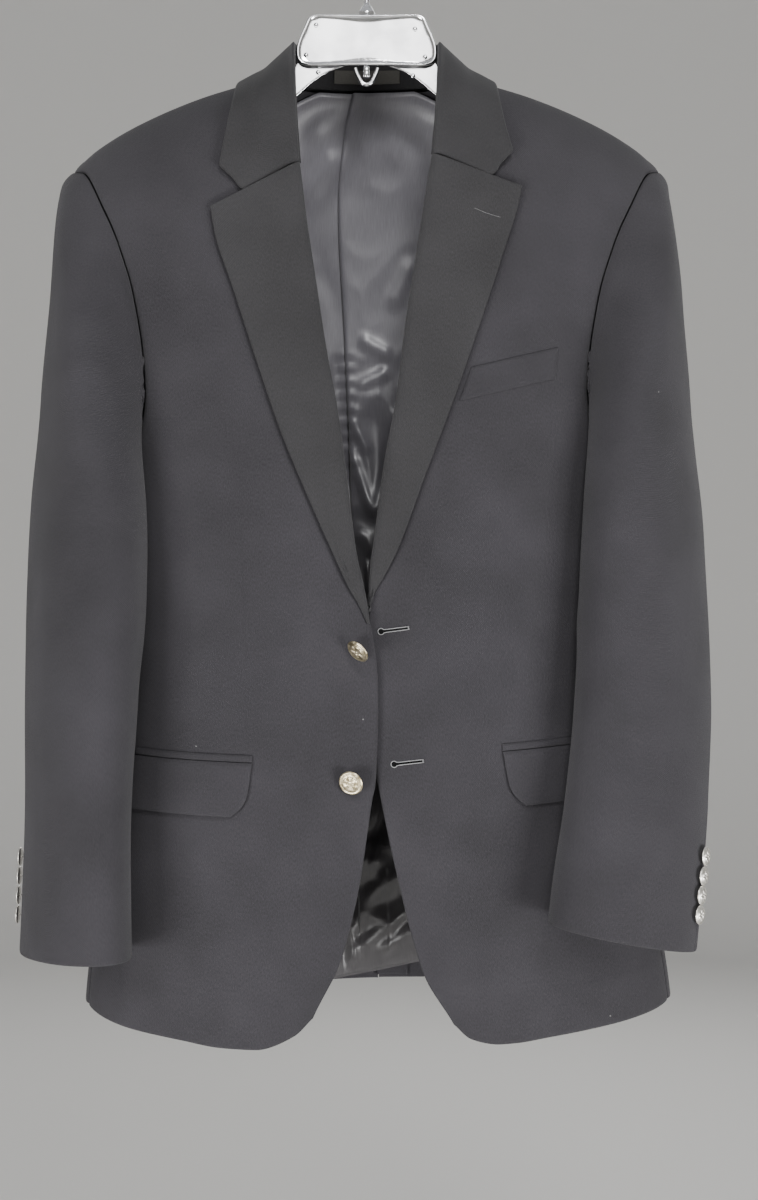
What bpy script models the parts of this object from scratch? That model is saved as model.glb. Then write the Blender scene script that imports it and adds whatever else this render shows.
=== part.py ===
"""A single-breasted two-button blazer hanging open on a metal suit hanger.

Lengths in the tables are millimetres. The origin is the seat of the hanger's hook, x runs to the
right as seen from the front (the wearer's left), y to the back and z up.
"""
import bmesh
import bpy
import numpy as np
from mathutils import Vector

for old in list(bpy.context.scene.objects):
    bpy.data.objects.remove(old, do_unlink=True)

# Sizes
MM = 0.001
CLOTH = 1.6             # doubled wool of the body and sleeves
LAPEL = 2.0             # faced and interlined wool of lapels and collar
LINING = 1.0
SEAM = 0.4              # air left between neighbouring pieces
SEAM_TURN = 0.22        # the same at a side seam, in degrees round the body
RIDGE_DROP = 110.0      # height over which the chest rounds up to the shoulder seam
RIDGE_POWER = 2.2
SIDE_POWER = 2.8
FRONT_SEAM, BACK_SEAM = 76.0, 112.0     # side seams, degrees round the body from its front
TOP_SEAM_FRONT, TOP_SEAM_BACK = 152.0, 298.0    # sleeve seams, degrees round the arm
RECESS = 4.5            # the buttonhole side lies this much under the button side
NECK = 74.5             # out to the neck's end of the shoulder seam
POCKET = -680.0         # height at which the pockets are laid out
SLEEVE_OFF = 1.0        # the sleeve's outer face stands off the body's at the armhole
SLEEVE_HEAD = 0.8       # more at its top
ARM_CLEAR = 4.5         # room kept between a hanging sleeve and the body
LINING_OFF = 4.4        # from the cloth's outer face to the lining's, at the neck
LINING_EASE = 3.4       # more below the shoulders
LINING_YOKE = 2.6       # and more right under its top edge
LINING_TUCK = 5.4       # less where it is sewn to the hem
VENT_ROOM = 2.9         # kept there for the vent
PLEAT_DEPTH, PLEAT_WIDTH = 5.0, 9.0
LINING_HEM = -872.0
JET_OFF, FLAP_OFF, WELT_OFF = 1.8, 2.5, 2.1     # outer faces of the pocket pieces off the cloth
JET_CLOTH, FLAP_CLOTH, WELT_CLOTH = 1.3, 2.0, 1.7
TAPE_CLOTH = 0.5
WIRE = 2.2              # radius of the hook's wire
HOOK_RADIUS = 20.0      # inside of the hook
HOOK_ENDS = (-78, 190)  # degrees round the hook from its right-hand side
ARMS_Y = 3.0
LOOP_WIRE = 1.5
LOCK_RADIUS, LOCK_HEIGHT = 3.2, 9.5

SHOULDER = (  # out from the middle, height of the shoulder seam
    (0, -96), (40, -104), (76, -120), (140, -140), (190, -161), (226, -182), (247, -200))
BODY = (  # height, half width, front depth, back depth, drift to the right
    (-930, 248, 80, 82, 10.5), (-900, 246, 80, 82, 10), (-820, 236, 79, 80, 8.5),
    (-700, 216, 77, 74, 6), (-600, 204, 74, 66, 4), (-520, 202, 75, 68, 2), (-442, 205, 77, 76, 0.5),
    (-340, 222, 73, 80, 0), (-260, 240, 70, 78, 0), (-190, 250, 68, 74, 0), (-80, 250, 66, 70, 0))
ARMHOLE = (  # degrees round the arm, degrees round the body, height
    (0, 75.2, -199), (12, 66.5, -206), (38, 56.9, -241), (59, 52.3, -273), (82, 50.3, -309),
    (104, 50.2, -345), (128, 52.2, -387), (145, 56.6, -415), (160, 65.6, -434), (168, 76, -438.5),
    (180, 90, -442), (200, 104, -434), (223, 112, -405), (250, 117.4, -360), (279, 119.8, -310),
    (309, 118.8, -262), (338, 112.9, -220), (360, 104.8, -199))
EDGE = {  # side: front edge from its lower corner up to the neck; out from the middle, height
    -1: ((52, -893), (28, -845), (10, -772), (-2.5, -696), (-5, -640), (-2, -601), (4, -580), (11.5, -556),
         (20, -465), (37, -359), (52, -252), (57.5, -208), (63, -165), (74.5, -121)),
    1: ((60, -898), (37, -859), (21, -799), (7, -728), (2, -696), (0, -627), (-2, -596), (2, -560),
        (14, -488), (31.5, -383), (46, -272), (57, -202), (63, -165), (74.5, -121))}
HEM = {  # side: hem from the front corner to the side seam
    -1: ((52, -893), (68, -908), (98, -919), (125, -918), (158, -913), (208, -905), (240.8, -893)),
    1: ((60, -898), (74, -910), (95, -914.5), (110, -913.6), (137, -909.5), (204, -899), (240.8, -889))}
BACK_HEM = {-1: -901, 1: -886}      # height of the hem at the middle of the back, side seam as in HEM
LAPEL_ROWS = {  # side: fold (out, height) and outer edge (out, height), from the break up
    -1: ((5, -574, 8, -571), (10.2, -556, 17.5, -548), (14.5, -532, 28, -524), (20, -465, 47.4, -477),
         (27.5, -406, 68.3, -425), (36, -359, 86.6, -371), (45, -300, 105.2, -313.5),
         (52.2, -252, 121, -266), (57, -211.5, 124.8, -244.5)),
    1: ((1.5, -562, 4.5, -559), (4, -545, 12, -541), (9, -518, 22, -520), (19, -452, 45.6, -462.5),
        (29, -394, 71.8, -394.4), (36, -338, 91.4, -337.8), (45, -280, 110, -281),
        (53.5, -225, 121, -246), (57, -204.5, 124.8, -228.5))}
COLLAR_END = {  # side: the same columns as COLLAR, at the gorge
    -1: (0, 54.1, -65.8, -209.2, 52.6, -70.4, -209.2, 97.5, -71, -229.7, 118, -67, -210.5, 0, -1, 0),
    1: (0, 54.1, -65.6, -202.4, 52.6, -70.2, -202.4, 99.7, -70.8, -218.2, 118, -66.5, -198.6, 0, -1, 0)}
COLLAR = (  # round the neck, then seam, fold, middle and edge of the fall, each as x, y, z; up x, y, z
    (0.3, 59.6, -58.4, -167, 55.4, -64.3, -168, 84.0, -67.5, -187.0, 112.0, -60.0, -172, 0, -.85, .5),
    (0.6, 69.0, -35.5, -131, 58.2, -37.0, -116, 86.0, -51.0, -143.0, 109.0, -47.5, -150, 0, -.5, .85),
    (1.0, 73.0, 0.0, -117.5, 59.5, 0.0, -91, 84.0, 0.0, -111.5, 107.5, 0.0, -124.4, 0, 0, 1),
    (1.6, 46.0, 36.5, -117.5, 43.0, 31.0, -88, 57.0, 40.5, -111.0, 69.0, 47.0, -132, 0, -.1, 1),
    (2.2, 0.0, 45.2, -117.5, 0.0, 40.0, -86, 0.0, 52.0, -112.0, 0.0, 62.0, -136, 0, -.15, 1))
SLEEVE = {  # side: height, centre out, centre back, half length, half width, turn of the flat tube
    -1: ((-199, 214, 0, 64, 38, 0), (-225, 217, -2, 74, 41, 2), (-308, 221.5, -8, 80, 42, 5),
         (-393, 227.8, -18, 80, 42, 10), (-477, 230.2, -30, 78, 44.5, 23), (-560, 233, -42, 72, 43.5, 31),
         (-641, 236.8, -52, 67, 40, 34), (-722, 239.6, -60, 63, 37, 35), (-769, 240.5, -66, 62, 36, 37),
         (-833, 241.5, -72, 62, 36, 40), (-862, 242, -75, 62, 36, 42)),
    1: ((-199, 214, 0, 64, 38, 0), (-225, 216, -2, 74, 41, 2), (-308, 222, -8, 80, 42, 7),
        (-393, 226.5, -17, 80, 42, 17), (-477, 226.4, -29, 78, 44.5, 27), (-560, 223.6, -42, 72, 43.5, 39),
        (-642, 219, -60, 67, 40, 53), (-722, 209.6, -80, 63, 37, 66), (-770, 201, -92, 62, 35.5, 73),
        (-834, 191.5, -100, 62, 35, 76), (-862, 187.5, -102, 62, 35, 77))}
CUFF = {-1: (-843, 0.03), 1: (-823.5, 0.2)}     # height at the middle, fall for each mm outward
SLEEVE_LAG = ((0, 9), (60, 30), (100, 55), (180, 40), (250, 55), (300, 30), (360, 9))    # round, distance
JET = {-1: (96, -684.2, 193, -679.7), 1: (103.5, -675.0, 193, -665.6)}      # top line: out, height, twice
JET_HEIGHT, FLAP_HEIGHT = 6.0, 43.0
WELT = ((84.5, -373.6, 154.4, -356.5), (74.5, -401.0, 152.6, -381.8))       # top and bottom lines
FLAP_CORNER = (  # down from the flap's top, degrees that its front edge rounds off
    (0, 0), (27, 0.8), (35, 1.8), (43, 4.4))
FRONT_BUTTONS = {"upper": (7.4, -597.2, 40), "lower": (18.1, -705.4, 6)}   # out, height, droop
CUFF_BUTTONS = {-1: (-770.5, -785.7, -801.3, -816.7), 1: (-761.6, -776.6, -791.0, -805.8)}
FRONT_PROFILE = (  # radius, height of a 20 mm button above its back, from the middle of its face
    (0, 2.9), (4.5, 2.6), (7.5, 1.9), (8.9, 2.3), (10, 1.7), (10, 0.9), (8.9, 0), (1.7, 0))
CUFF_PROFILE = (  # radius, height of a 15 mm button above its seat
    (0, 4.6), (3.7, 4.4), (6, 3.9), (7.5, 3.4), (7.5, 2.8), (6.5, 2.2), (1.4, 2.2), (1.4, 0), (0, 0))
CUFF_TURN = 7           # degrees from the sleeve's back seam to the cuff buttons
CUFF_LIFT = 0.35        # their seats off the cloth
SHANK, SHANK_RADIUS = 2.6, 1.7
ROLL = (  # past the lapel's fold, off the front
    (-2.9, -1.2), (-4.4, 0.9), (-3.9, 3.5), (-1.0, 5.3), (4.0, 5.8))
LAPEL_OFF = (  # from the roll to the edge, off the front
    (0.3, 4.6), (0.65, 4.0), (1.0, 3.8))
ARMS = (  # out, top, bottom, half depth of the hanger's arms
    (0, -97, -111, 9), (12, -97.5, -112, 9), (30, -99, -118, 9.5), (45, -102.5, -127, 10.5),
    (58, -108, -137, 11), (66, -116, -143, 12), (76, -123.2, -149, 14), (108, -133.5, -160, 15),
    (140, -143.5, -169, 15), (190, -164.5, -189, 14), (222, -183.5, -203, 10), (230, -189.5, -200, 5))
PLATE = (  # half width, height down the hanger's front plate
    (44, -70.0), (48.5, -72.5), (51, -77.5), (58.8, -101), (58.3, -106), (54.5, -110.8), (49, -112.4))
PLATE_Y, PLATE_MIDDLE, PLATE_DEPTH, PLATE_ROUND = -9.5, -91.5, 4.0, 0.6
LOOP = (  # out, height of the wire loop below the plate
    (9.5, -114.4), (8.2, -118.5), (6.4, -122.5), (4.6, -125.8), (2.4, -127.6), (0, -128.2))
LOCK_TOP = -113.2
STEM = ((0, 0, -96.6), (0, 0, -66), (0, 0, -56), (0.3, 0, -50), (1.8, 0, -44.5))     # below the hook
DROOP = (-0.72, 0, -0.69)    # the way that a loose button tips
WEARER = {-1: "right", 1: "left"}


def through(x, rows, column=1):
    """A smooth curve through a table: its first column against another, with no overshoot."""
    rows = np.asarray(rows, float)
    xs, ys = rows[:, 0], rows[:, column]
    if xs[0] > xs[-1]:
        xs, ys = xs[::-1], ys[::-1]
    h = np.diff(xs)
    d = np.diff(ys) / h
    both = d[:-1] * d[1:]
    inner = np.where(both > 0, 2 * both / np.where(both > 0, d[:-1] + d[1:], 1), 0)
    m = np.concatenate([[d[0]], inner, [d[-1]]])
    x = np.clip(np.asarray(x, float), xs[0], xs[-1])
    i = np.clip(np.searchsorted(xs, x, side="right") - 1, 0, len(h) - 1)
    t = (x - xs[i]) / h[i]
    return ((2 * t**3 - 3 * t**2 + 1) * ys[i] + (t**3 - 2 * t**2 + t) * h[i] * m[i]
            + (-2 * t**3 + 3 * t**2) * ys[i + 1] + (t**3 - t**2) * h[i] * m[i + 1])


def along(points, t):
    """Points at the fractions t of the way along a smooth curve through the points given."""
    points = np.asarray(points, float)
    far = np.concatenate([[0], np.cumsum(np.linalg.norm(np.diff(points, axis=0), axis=1))])
    rows = np.column_stack([far / far[-1], points])
    return np.stack([through(t, rows, c) for c in range(1, rows.shape[1])], -1)


def smooth(t):
    t = np.clip(t, 0, 1)
    return t * t * (3 - 2 * t)


def half_width(z):
    return through(z, BODY, 1)


def under_seam(x, z):
    """0 at the shoulder seam, 1 where the chest has its full depth."""
    drop = np.clip((through(np.abs(x), SHOULDER) - z) / RIDGE_DROP, 0, 1)
    return (1 - (1 - drop) ** RIDGE_POWER) ** (1 / RIDGE_POWER)


def to_round(x, z):
    """Degrees round the front of the body at x."""
    part = np.clip(np.abs(x) / half_width(z), 0, 1)
    return np.degrees(np.sign(x) * np.arcsin(part ** (SIDE_POWER / 2)))


def from_round(round_, z):
    return half_width(z) * np.abs(np.sin(np.radians(round_))) ** (2 / SIDE_POWER)


def body(round_, z):
    """Points of the body's cloth: degrees from the front (0) by the side (90) to the back (180)."""
    a = np.radians(round_)
    x = np.sign(np.sin(a)) * half_width(z) * np.abs(np.sin(a)) ** (2 / SIDE_POWER)
    face = np.where(np.abs(round_) < 90, -1.0, 1.0)
    depth = np.where(face < 0, through(z, BODY, 2), through(z, BODY, 3))
    y = face * depth * under_seam(x, z) * np.abs(np.cos(a)) ** (2 / SIDE_POWER)
    y = y + face * SEAM * 1.2 * (1 - smooth(under_seam(x, z) / 0.3))
    return np.stack([x, y, z + 0 * x], -1)


def unit(v):
    return v / np.maximum(np.linalg.norm(v, axis=-1, keepdims=True), 1e-9)


def body_normal(round_, z):
    across = body(round_ + 0.4, z) - body(round_ - 0.4, z)
    up = body(round_, z + 1.0) - body(round_, z - 1.0)
    return unit(np.cross(across, up))


def patch(bottom, top, left, right):
    """A grid of rows between four edges that meet at their ends."""
    m, n = len(bottom), len(left)
    u, v = np.linspace(0, 1, m)[None, :, None], np.linspace(0, 1, n)[:, None, None]
    corners = ((1 - u) * (1 - v) * bottom[0] + u * (1 - v) * bottom[-1]
               + (1 - u) * v * top[0] + u * v * top[-1])
    return (1 - v) * bottom[None] + v * top[None] + (1 - u) * left[:, None] + u * right[:, None] - corners


def place(points, side):
    """Mirrors a grid to its side and lets it drift with the hanging coat."""
    points = points * np.array([side, 1, 1])
    points[..., 0] += through(points[..., 2], BODY, 4)
    return points


def gauge(x, y, z, margin):
    """Below 1 inside the body's outline at height z, above 1 outside it."""
    depth = np.where(y < 0, through(z, BODY, 2), through(z, BODY, 3)) + margin
    across = (np.abs(x) / (half_width(z) + margin)) ** SIDE_POWER
    return (across + (np.abs(y) / depth) ** SIDE_POWER) ** (1 / SIDE_POWER)


def clear_of_body(p, margin):
    """Moves points out of the body's outline by the shortest way."""
    x, y, z = p[..., 0].copy(), p[..., 1].copy(), p[..., 2]
    for _ in range(6):
        g = gauge(x, y, z, margin)
        gx = (gauge(x + 0.1, y, z, margin) - g) / 0.1
        gy = (gauge(x, y + 0.1, z, margin) - g) / 0.1
        step = np.clip(1 - g, 0, None) / np.maximum(gx**2 + gy**2, 1e-9)
        x, y = x + step * gx, y + step * gy
    return np.stack([x, y, z], -1)


def material(name, colour, rough, metallic=0.0):
    made = bpy.data.materials.new(name)
    made.use_nodes = True
    shader = made.node_tree.nodes["Principled BSDF"]
    shader.inputs["Base Color"].default_value = (*colour, 1)
    shader.inputs["Roughness"].default_value = rough
    shader.inputs["Metallic"].default_value = metallic
    return made


WOOL = material("wool", (0.02, 0.02, 0.022), 0.9)
SATIN = material("lining_satin", (0.035, 0.035, 0.04), 0.35)
BUTTON = material("button_metal", (0.72, 0.68, 0.6), 0.3, 1.0)
CHROME = material("hanger_chrome", (0.8, 0.8, 0.82), 0.12, 1.0)
TAPE = material("label_cloth", (0.16, 0.15, 0.14), 0.7)

blazer = bpy.data.collections.new("blazer_on_hanger")
bpy.context.scene.collection.children.link(blazer)


def put(name, data, look):
    """Links an object made of a mesh or a curve."""
    data.materials.append(look)
    obj = bpy.data.objects.new(name, data)
    blazer.objects.link(obj)
    return obj


def sheet(name, grid, thick, look, outward=True):
    """A sheet of cloth: a grid of points is its outer face, and Solidify gives it its wall.

    outward is true where the grid's columns crossed with its rows face out.
    """
    rows, cols = grid.shape[:2]
    bm = bmesh.new()
    bmesh.ops.create_grid(bm, x_segments=cols - 1, y_segments=rows - 1, size=1)
    for vert in bm.verts:
        col = round((vert.co.x + 1) / 2 * (cols - 1))
        row = round((vert.co.y + 1) / 2 * (rows - 1))
        vert.co = grid[row, col] * MM
    if not outward:
        bmesh.ops.reverse_faces(bm, faces=bm.faces)
    mesh = bpy.data.meshes.new(name)
    bm.to_mesh(mesh)
    bm.free()
    mesh.shade_smooth()
    obj = put(name, mesh, look)
    wall = obj.modifiers.new("Wall", "SOLIDIFY")
    wall.thickness = thick * MM
    wall.offset = -1
    return obj


def on_body(name, side, round_, z, off, thick, look, sunk=0.0):
    """A sheet that follows the body's cloth, with its outer face moved out by off."""
    grid = body(round_, z) + body_normal(round_, z) * off
    grid[..., 1] += sunk
    return sheet(name, place(grid, side), thick, look, side > 0)


def recess(side, out, z):
    """The buttonhole side passes under the button side near the middle."""
    return RECESS * smooth((55 - out) / 45) * smooth((-300 - z) / 150) * (side > 0)


def wire(name, path, radius, look):
    """A round bar along a path."""
    curve = bpy.data.curves.new(name, "CURVE")
    curve.dimensions = "3D"
    curve.bevel_depth = radius * MM
    curve.bevel_resolution = 2
    curve.use_fill_caps = True
    spline = curve.splines.new("POLY")
    spline.points.add(len(path) - 1)
    for point, co in zip(spline.points, path):
        point.co = (*(np.asarray(co) * MM), 1)
    return put(name, curve, look)


def turned(name, profile, steps, look):
    """A turned piece: rows of radius and height, from its top down to its base."""
    mesh = bpy.data.meshes.new(name)
    rows = [(r * MM, 0, h * MM) for r, h in profile]
    mesh.from_pydata(rows, [(i, i + 1) for i in range(len(rows) - 1)], [])
    obj = put(name, mesh, look)
    spin = obj.modifiers.new("Turn", "SCREW")
    spin.steps = spin.render_steps = steps
    spin.use_merge_vertices = True
    spin.merge_threshold = 0.00005
    spin.use_normal_calculate = True
    return obj


def seat(obj, at, facing):
    """Stands a turned piece at a point, facing away from it."""
    obj.location = np.asarray(at) * MM
    obj.rotation_euler = Vector(facing).to_track_quat("Z", "Y").to_euler()


def armhole(theta):
    """Degrees round the body and height of the armhole, at degrees round the arm."""
    return np.stack([through(theta, ARMHOLE, 1), through(theta, ARMHOLE, 2)], -1)


def front_grid(side, cols=13, rows=21):
    """The front's outer face as degrees round the body and height."""
    hem = np.array(HEM[side], float)
    hem = np.column_stack([to_round(hem[:, 0], hem[:, 1]), hem[:, 1]])
    hem[-1, 0] = FRONT_SEAM - SEAM_TURN
    edge = np.array(EDGE[side], float)
    edge = np.column_stack([to_round(edge[:, 0], edge[:, 1]), edge[:, 1]])
    tip = armhole(np.array([0.0]))[0]
    outer = np.concatenate([[hem[-1]], [[hem[-1, 0], z] for z in (-800, -700, -600, -520)],
                            armhole(np.array([168, 158, 145, 128, 104, 82, 59, 38, 12, 0.0]))])
    x = np.linspace(NECK, 244, 7)
    seam = np.column_stack([to_round(x, through(x, SHOULDER)), through(x, SHOULDER) - 0.01])
    seam[0], seam[-1] = edge[-1], tip
    scale = np.array([3.0, 1.0])
    u, v = np.linspace(0, 1, cols), 1 - (1 - np.linspace(0, 1, rows)) ** 1.8
    steps = np.cumsum(np.linalg.norm(np.diff(edge * scale, axis=0), axis=1))
    stop = steps[6] / steps[-1]
    v[np.argmin(np.abs(v - stop))] = stop       # a row at the break of the lapel
    lines = (hem, u), (seam, u), (edge, v), (outer, v)
    return patch(*[along(line * scale, t) / scale for line, t in lines])


def front_point(side, out, z):
    """A grid of points on a front, and which way its cloth faces there."""
    points, n = body(to_round(out, z), z), body_normal(to_round(out, z), z)
    points[..., 1] += recess(side, out, z)
    return points, n


def sleeve_tube(side, theta, z):
    """The hanging sleeve's section at height z."""
    c, y, a, b, turn = (through(z, SLEEVE[side], k) for k in range(1, 6))
    t, th = np.radians(turn), np.radians(theta)
    u, v = b * np.cos(th), a * np.sin(th)
    return np.stack([c + u * np.cos(t) - v * np.sin(t), y - u * np.sin(t) - v * np.cos(t), z + 0 * th], -1)


def sleeve_point(side, theta, v):
    """The sleeve's outer face, from the armhole (v=0) to the cuff (v=1)."""
    ring = armhole(np.mod(theta, 360.0001))
    start = body(ring[..., 0], ring[..., 1])
    start[..., 0] += SLEEVE_OFF + SLEEVE_HEAD * smooth(np.cos(np.radians(theta)) * 3 - 1.5)
    mid = sleeve_tube(side, theta, CUFF[side][0] + 0 * theta)
    end = CUFF[side][0] - CUFF[side][1] * (mid[..., 0] - SLEEVE[side][-2][1])
    z = start[..., 2] + (end - start[..., 2]) * v
    fall = 1 - np.exp(-(start[..., 2] - z) / through(np.mod(theta, 360.0001), SLEEVE_LAG))
    point = start + (sleeve_tube(side, theta, z) - start) * fall[..., None]
    point[..., 2] = z
    free = clear_of_body(point, SLEEVE_OFF + ARM_CLEAR * smooth((-345 - z) / 110))
    return point + (free - point) * smooth((-290 - z) / 40)[..., None]


def sleeve_normal(side, theta, v):
    round_ = sleeve_point(side, theta - 1.5, v) - sleeve_point(side, theta + 1.5, v)
    low, high = np.clip(v - 0.01, 0, 1), np.clip(v + 0.01, 0, 1)
    return unit(np.cross(round_, sleeve_point(side, theta, low) - sleeve_point(side, theta, high)))


def collar_section(side, rows):
    """The collar's columns: neck seam, stand, fold and fall, down to its edge."""
    table = [COLLAR_END[side]] + list(COLLAR)
    seam, fold, middle, edge, up = (np.stack([through(rows, table, 3 * k + c) for c in (1, 2, 3)], -1)
                                    for k in range(5))
    up /= np.linalg.norm(up, axis=-1, keepdims=True)
    out = edge - fold
    out -= up * (out * up).sum(-1, keepdims=True)
    out /= np.linalg.norm(out, axis=-1, keepdims=True)
    lean = (1.5 - 3.2 * smooth(rows / 0.6))[:, None]
    stand = np.linalg.norm(fold - seam, axis=-1, keepdims=True)
    roll = [fold - up * np.minimum(2.5, stand * 0.3), fold + out * 1.8 + up * 1.6,
            fold + out * 5.6 + up * lean]
    fall = [roll[-1] + (middle - roll[-1]) * f for f in (0.4, 0.75, 1)]
    return [seam, seam + (fold - seam) * 0.5, *roll, *fall, middle + (edge - middle) * 0.5, edge]


# Fronts, sides and back
for side in (-1, 1):
    round_, z = np.moveaxis(front_grid(side), -1, 0)
    out = np.sign(round_) * from_round(round_, z)
    on_body("front_" + WEARER[side], side, round_, z, 0, CLOTH, WOOL, recess(side, out, z))

    a = np.linspace(FRONT_SEAM + SEAM_TURN, BACK_SEAM - SEAM_TURN, 6)
    top = armhole(np.interp(a, (76, 90, 104, 112), (168, 180, 200, 223)))
    low = np.interp(a, (FRONT_SEAM, BACK_SEAM), (HEM[side][-1][1], HEM[side][-1][1] - 3))
    z = low + (top[:, 1] - low) * np.linspace(0, 1, 14)[:, None]
    on_body("side_" + WEARER[side], side, a + 0 * z, z, 0, CLOTH, WOOL)

    cols, rows = 10, 19
    u, v = np.linspace(0, 1, cols), 1 - (1 - np.linspace(0, 1, rows)) ** 1.7
    hem_z = np.array([HEM[side][-1][1] - 3, HEM[side][-1][1] - 6, (BACK_HEM[-1] + BACK_HEM[1]) / 2])
    seam_at, middle = BACK_SEAM + SEAM_TURN, 180 - to_round(np.array(SEAM), np.array(POCKET))
    hem = np.column_stack([[seam_at, (seam_at + middle) / 2, middle], hem_z])
    x = np.concatenate([np.linspace(244, NECK, 5), [60, 34, SEAM]])
    z = np.concatenate([through(x[:5], SHOULDER) - 0.01, [-120.2, -120, -120]])
    seam = np.column_stack([180 - to_round(x, z), z])
    seam[-1, 0], seam[0] = middle, armhole(np.array([360.0]))[0]
    outer = np.concatenate([[hem[0]], [[seam_at, z] for z in (-800, -700, -600, -500)], [[seam_at, -405]],
                            armhole(np.array([236, 250, 279, 309, 338, 360.0]))])
    centre = np.array([[middle, z] for z in (hem_z[-1], -700, -500, -300, -120)])
    scale = np.array([3.0, 1.0])
    lines = (hem, u), (seam, u), (outer, v), (centre, v)
    grid = patch(*[along(line * scale, t) / scale for line, t in lines])
    on_body("back_" + WEARER[side], side, grid[..., 0], grid[..., 1], 0, CLOTH, WOOL)

# The vent's underlap, inside the wearer's left back
x, z = np.meshgrid(np.linspace(24, -1, 4), np.linspace(-893, -672, 8))
on_body("vent_underlap", 1, 180 - to_round(x, z), z, -CLOTH - 2 * SEAM, CLOTH, WOOL)

# Sleeves
for side in (-1, 1):
    for name, first, last, cols in (("top_sleeve_", TOP_SEAM_BACK - 360, TOP_SEAM_FRONT, 16),
                                    ("under_sleeve_", TOP_SEAM_FRONT, TOP_SEAM_BACK, 11)):
        u, v = np.meshgrid(np.linspace(0, 1, cols), np.linspace(0, 1, 19) ** 1.12)
        gap = 0.9 + 0.8 * (1 - smooth(v / 0.12))
        theta = first + gap + (last - first - 2 * gap) * u
        sheet(name + WEARER[side], place(sleeve_point(side, theta, v), side), CLOTH, WOOL, side > 0)

# Lapels, rolled over at their fold
for side in (-1, 1):
    rows = along(LAPEL_ROWS[side], np.linspace(0, 1, 13))
    fold, edge = rows[:, :2], rows[:, 2:]
    ahead = unit(np.gradient(fold, axis=0))
    square = np.stack([ahead[:, 1], -ahead[:, 0]], -1)
    flat = [fold + square * s for s, _ in ROLL]
    flat = np.stack(flat + [flat[-1] + (edge - flat[-1]) * f for f, _ in LAPEL_OFF], 1)
    lift = np.array([n for _, n in ROLL + LAPEL_OFF])
    base, n = front_point(side, flat[..., 0], flat[..., 1])
    sheet("lapel_" + WEARER[side], place(base + n * lift[:, None], side), LAPEL, WOOL, side > 0)

# Collar, one folded piece round the neck
t = np.concatenate([np.linspace(0, 1, 8), np.linspace(1.2, 2.2, 6)])
halves = []
for side in (1, -1):
    halves.append(np.stack(collar_section(side, t), 1) * np.array([side, 1, 1]))
sheet("collar", np.concatenate([halves[0], halves[1][-2::-1]]), LAPEL, WOOL)

# Pockets
for side in (-1, 1):
    x0, z0, x1, z1 = JET[side]
    first, last = (float(to_round(np.array(x), np.array(POCKET))) for x in (x0, x1))
    u = np.linspace(0, 1, 7)[None]
    top = z0 + (z1 - z0) * u
    down = np.array([JET_HEIGHT, 0.0])[:, None]
    round_ = first + (last - first) * u + 0 * down
    on_body("jet_" + WEARER[side], side, round_, top - down, JET_OFF, JET_CLOTH, WOOL)
    down = FLAP_HEIGHT * np.array([1, 0.8, 0.45, 0])[:, None]
    start = first + through(down, FLAP_CORNER)
    round_, z = start + (last - start) * u, top - JET_HEIGHT - SEAM - down
    on_body("flap_" + WEARER[side], side, round_, z, FLAP_OFF, FLAP_CLOTH, WOOL)
(xa, za, xb, zb), (xc, zc, xd, zd) = WELT
u, v = np.linspace(0, 1, 5)[None], np.array([0.0, 1.0])[:, None]
out = (xc + (xd - xc) * u) * (1 - v) + (xa + (xb - xa) * u) * v
z = (zc + (zd - zc) * u) * (1 - v) + (za + (zb - za) * u) * v
on_body("chest_welt", 1, to_round(out, z), z, WELT_OFF, WELT_CLOTH, WOOL)

# Buttons
for name, (out, z, droop) in FRONT_BUTTONS.items():
    spot = np.array(out), np.array(z)
    at = place(body(to_round(*spot), spot[1]), -1)
    lean = np.radians(droop)
    facing = np.array([0, -1, 0]) * np.cos(lean) + np.array(DROOP) * np.sin(lean)
    rim = max(FRONT_PROFILE)[0]
    shank = max(SHANK, (rim * np.sin(lean) + CLOTH + SEAM) / np.cos(lean))
    rows = [(r, h + shank) for r, h in FRONT_PROFILE] + [(SHANK_RADIUS, 0), (0, 0)]
    lift = SEAM + 1.7 * SHANK_RADIUS * np.sin(lean)
    seat(turned("front_button_" + name, rows, 16, BUTTON), at - np.array([0, lift, 0]), facing)
for side in (-1, 1):
    for k, z in enumerate(CUFF_BUTTONS[side]):
        theta = np.array([[TOP_SEAM_BACK + CUFF_TURN]])
        top, low = (sleeve_point(side, theta, 0 * theta + v)[0, 0, 2] for v in (0, 1))
        v = 0 * theta + (z - top) / (low - top)
        at = place(sleeve_point(side, theta, v), side)[0, 0]
        facing = sleeve_normal(side, theta, v)[0, 0] * np.array([side, 1, 1])
        button = turned(f"cuff_button_{WEARER[side]}_{k + 1}", CUFF_PROFILE, 10, BUTTON)
        seat(button, at + facing * CUFF_LIFT, facing)

# Back lining with its centre pleat, and the plain neck label
half = np.array([7, 18, 29, 40, 54, 72, 105, 140, 172.0])
x, v = np.meshgrid(np.concatenate([-half[::-1], [0], half]), 1 - (1 - np.linspace(0, 1, 17)) ** 1.5)
top = np.minimum(-121.5, through(np.abs(x), SHOULDER) - 16)
z = LINING_HEM + (top - LINING_HEM) * v
wide = 1 + (half_width(z) / 250 - 1) * smooth((-200 - z) / 100)
round_ = 180 - to_round(x * wide, z)
drop, hem = top - z, smooth((-780 - z) / 90)
inward = LINING_OFF + LINING_EASE * smooth(drop / 60) + LINING_YOKE * (1 - smooth(drop / 45))
inward -= (LINING_TUCK - VENT_ROOM * np.exp(-(x / 45) ** 2)) * hem
pleat = PLEAT_DEPTH * np.exp(-(x / PLEAT_WIDTH) ** 2) * smooth(drop / 40) * smooth((z - LINING_HEM) / 200)
n = body_normal(round_, z)
grid = body(round_, z) - n * inward[..., None]
grid[..., 1] -= pleat
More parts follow.
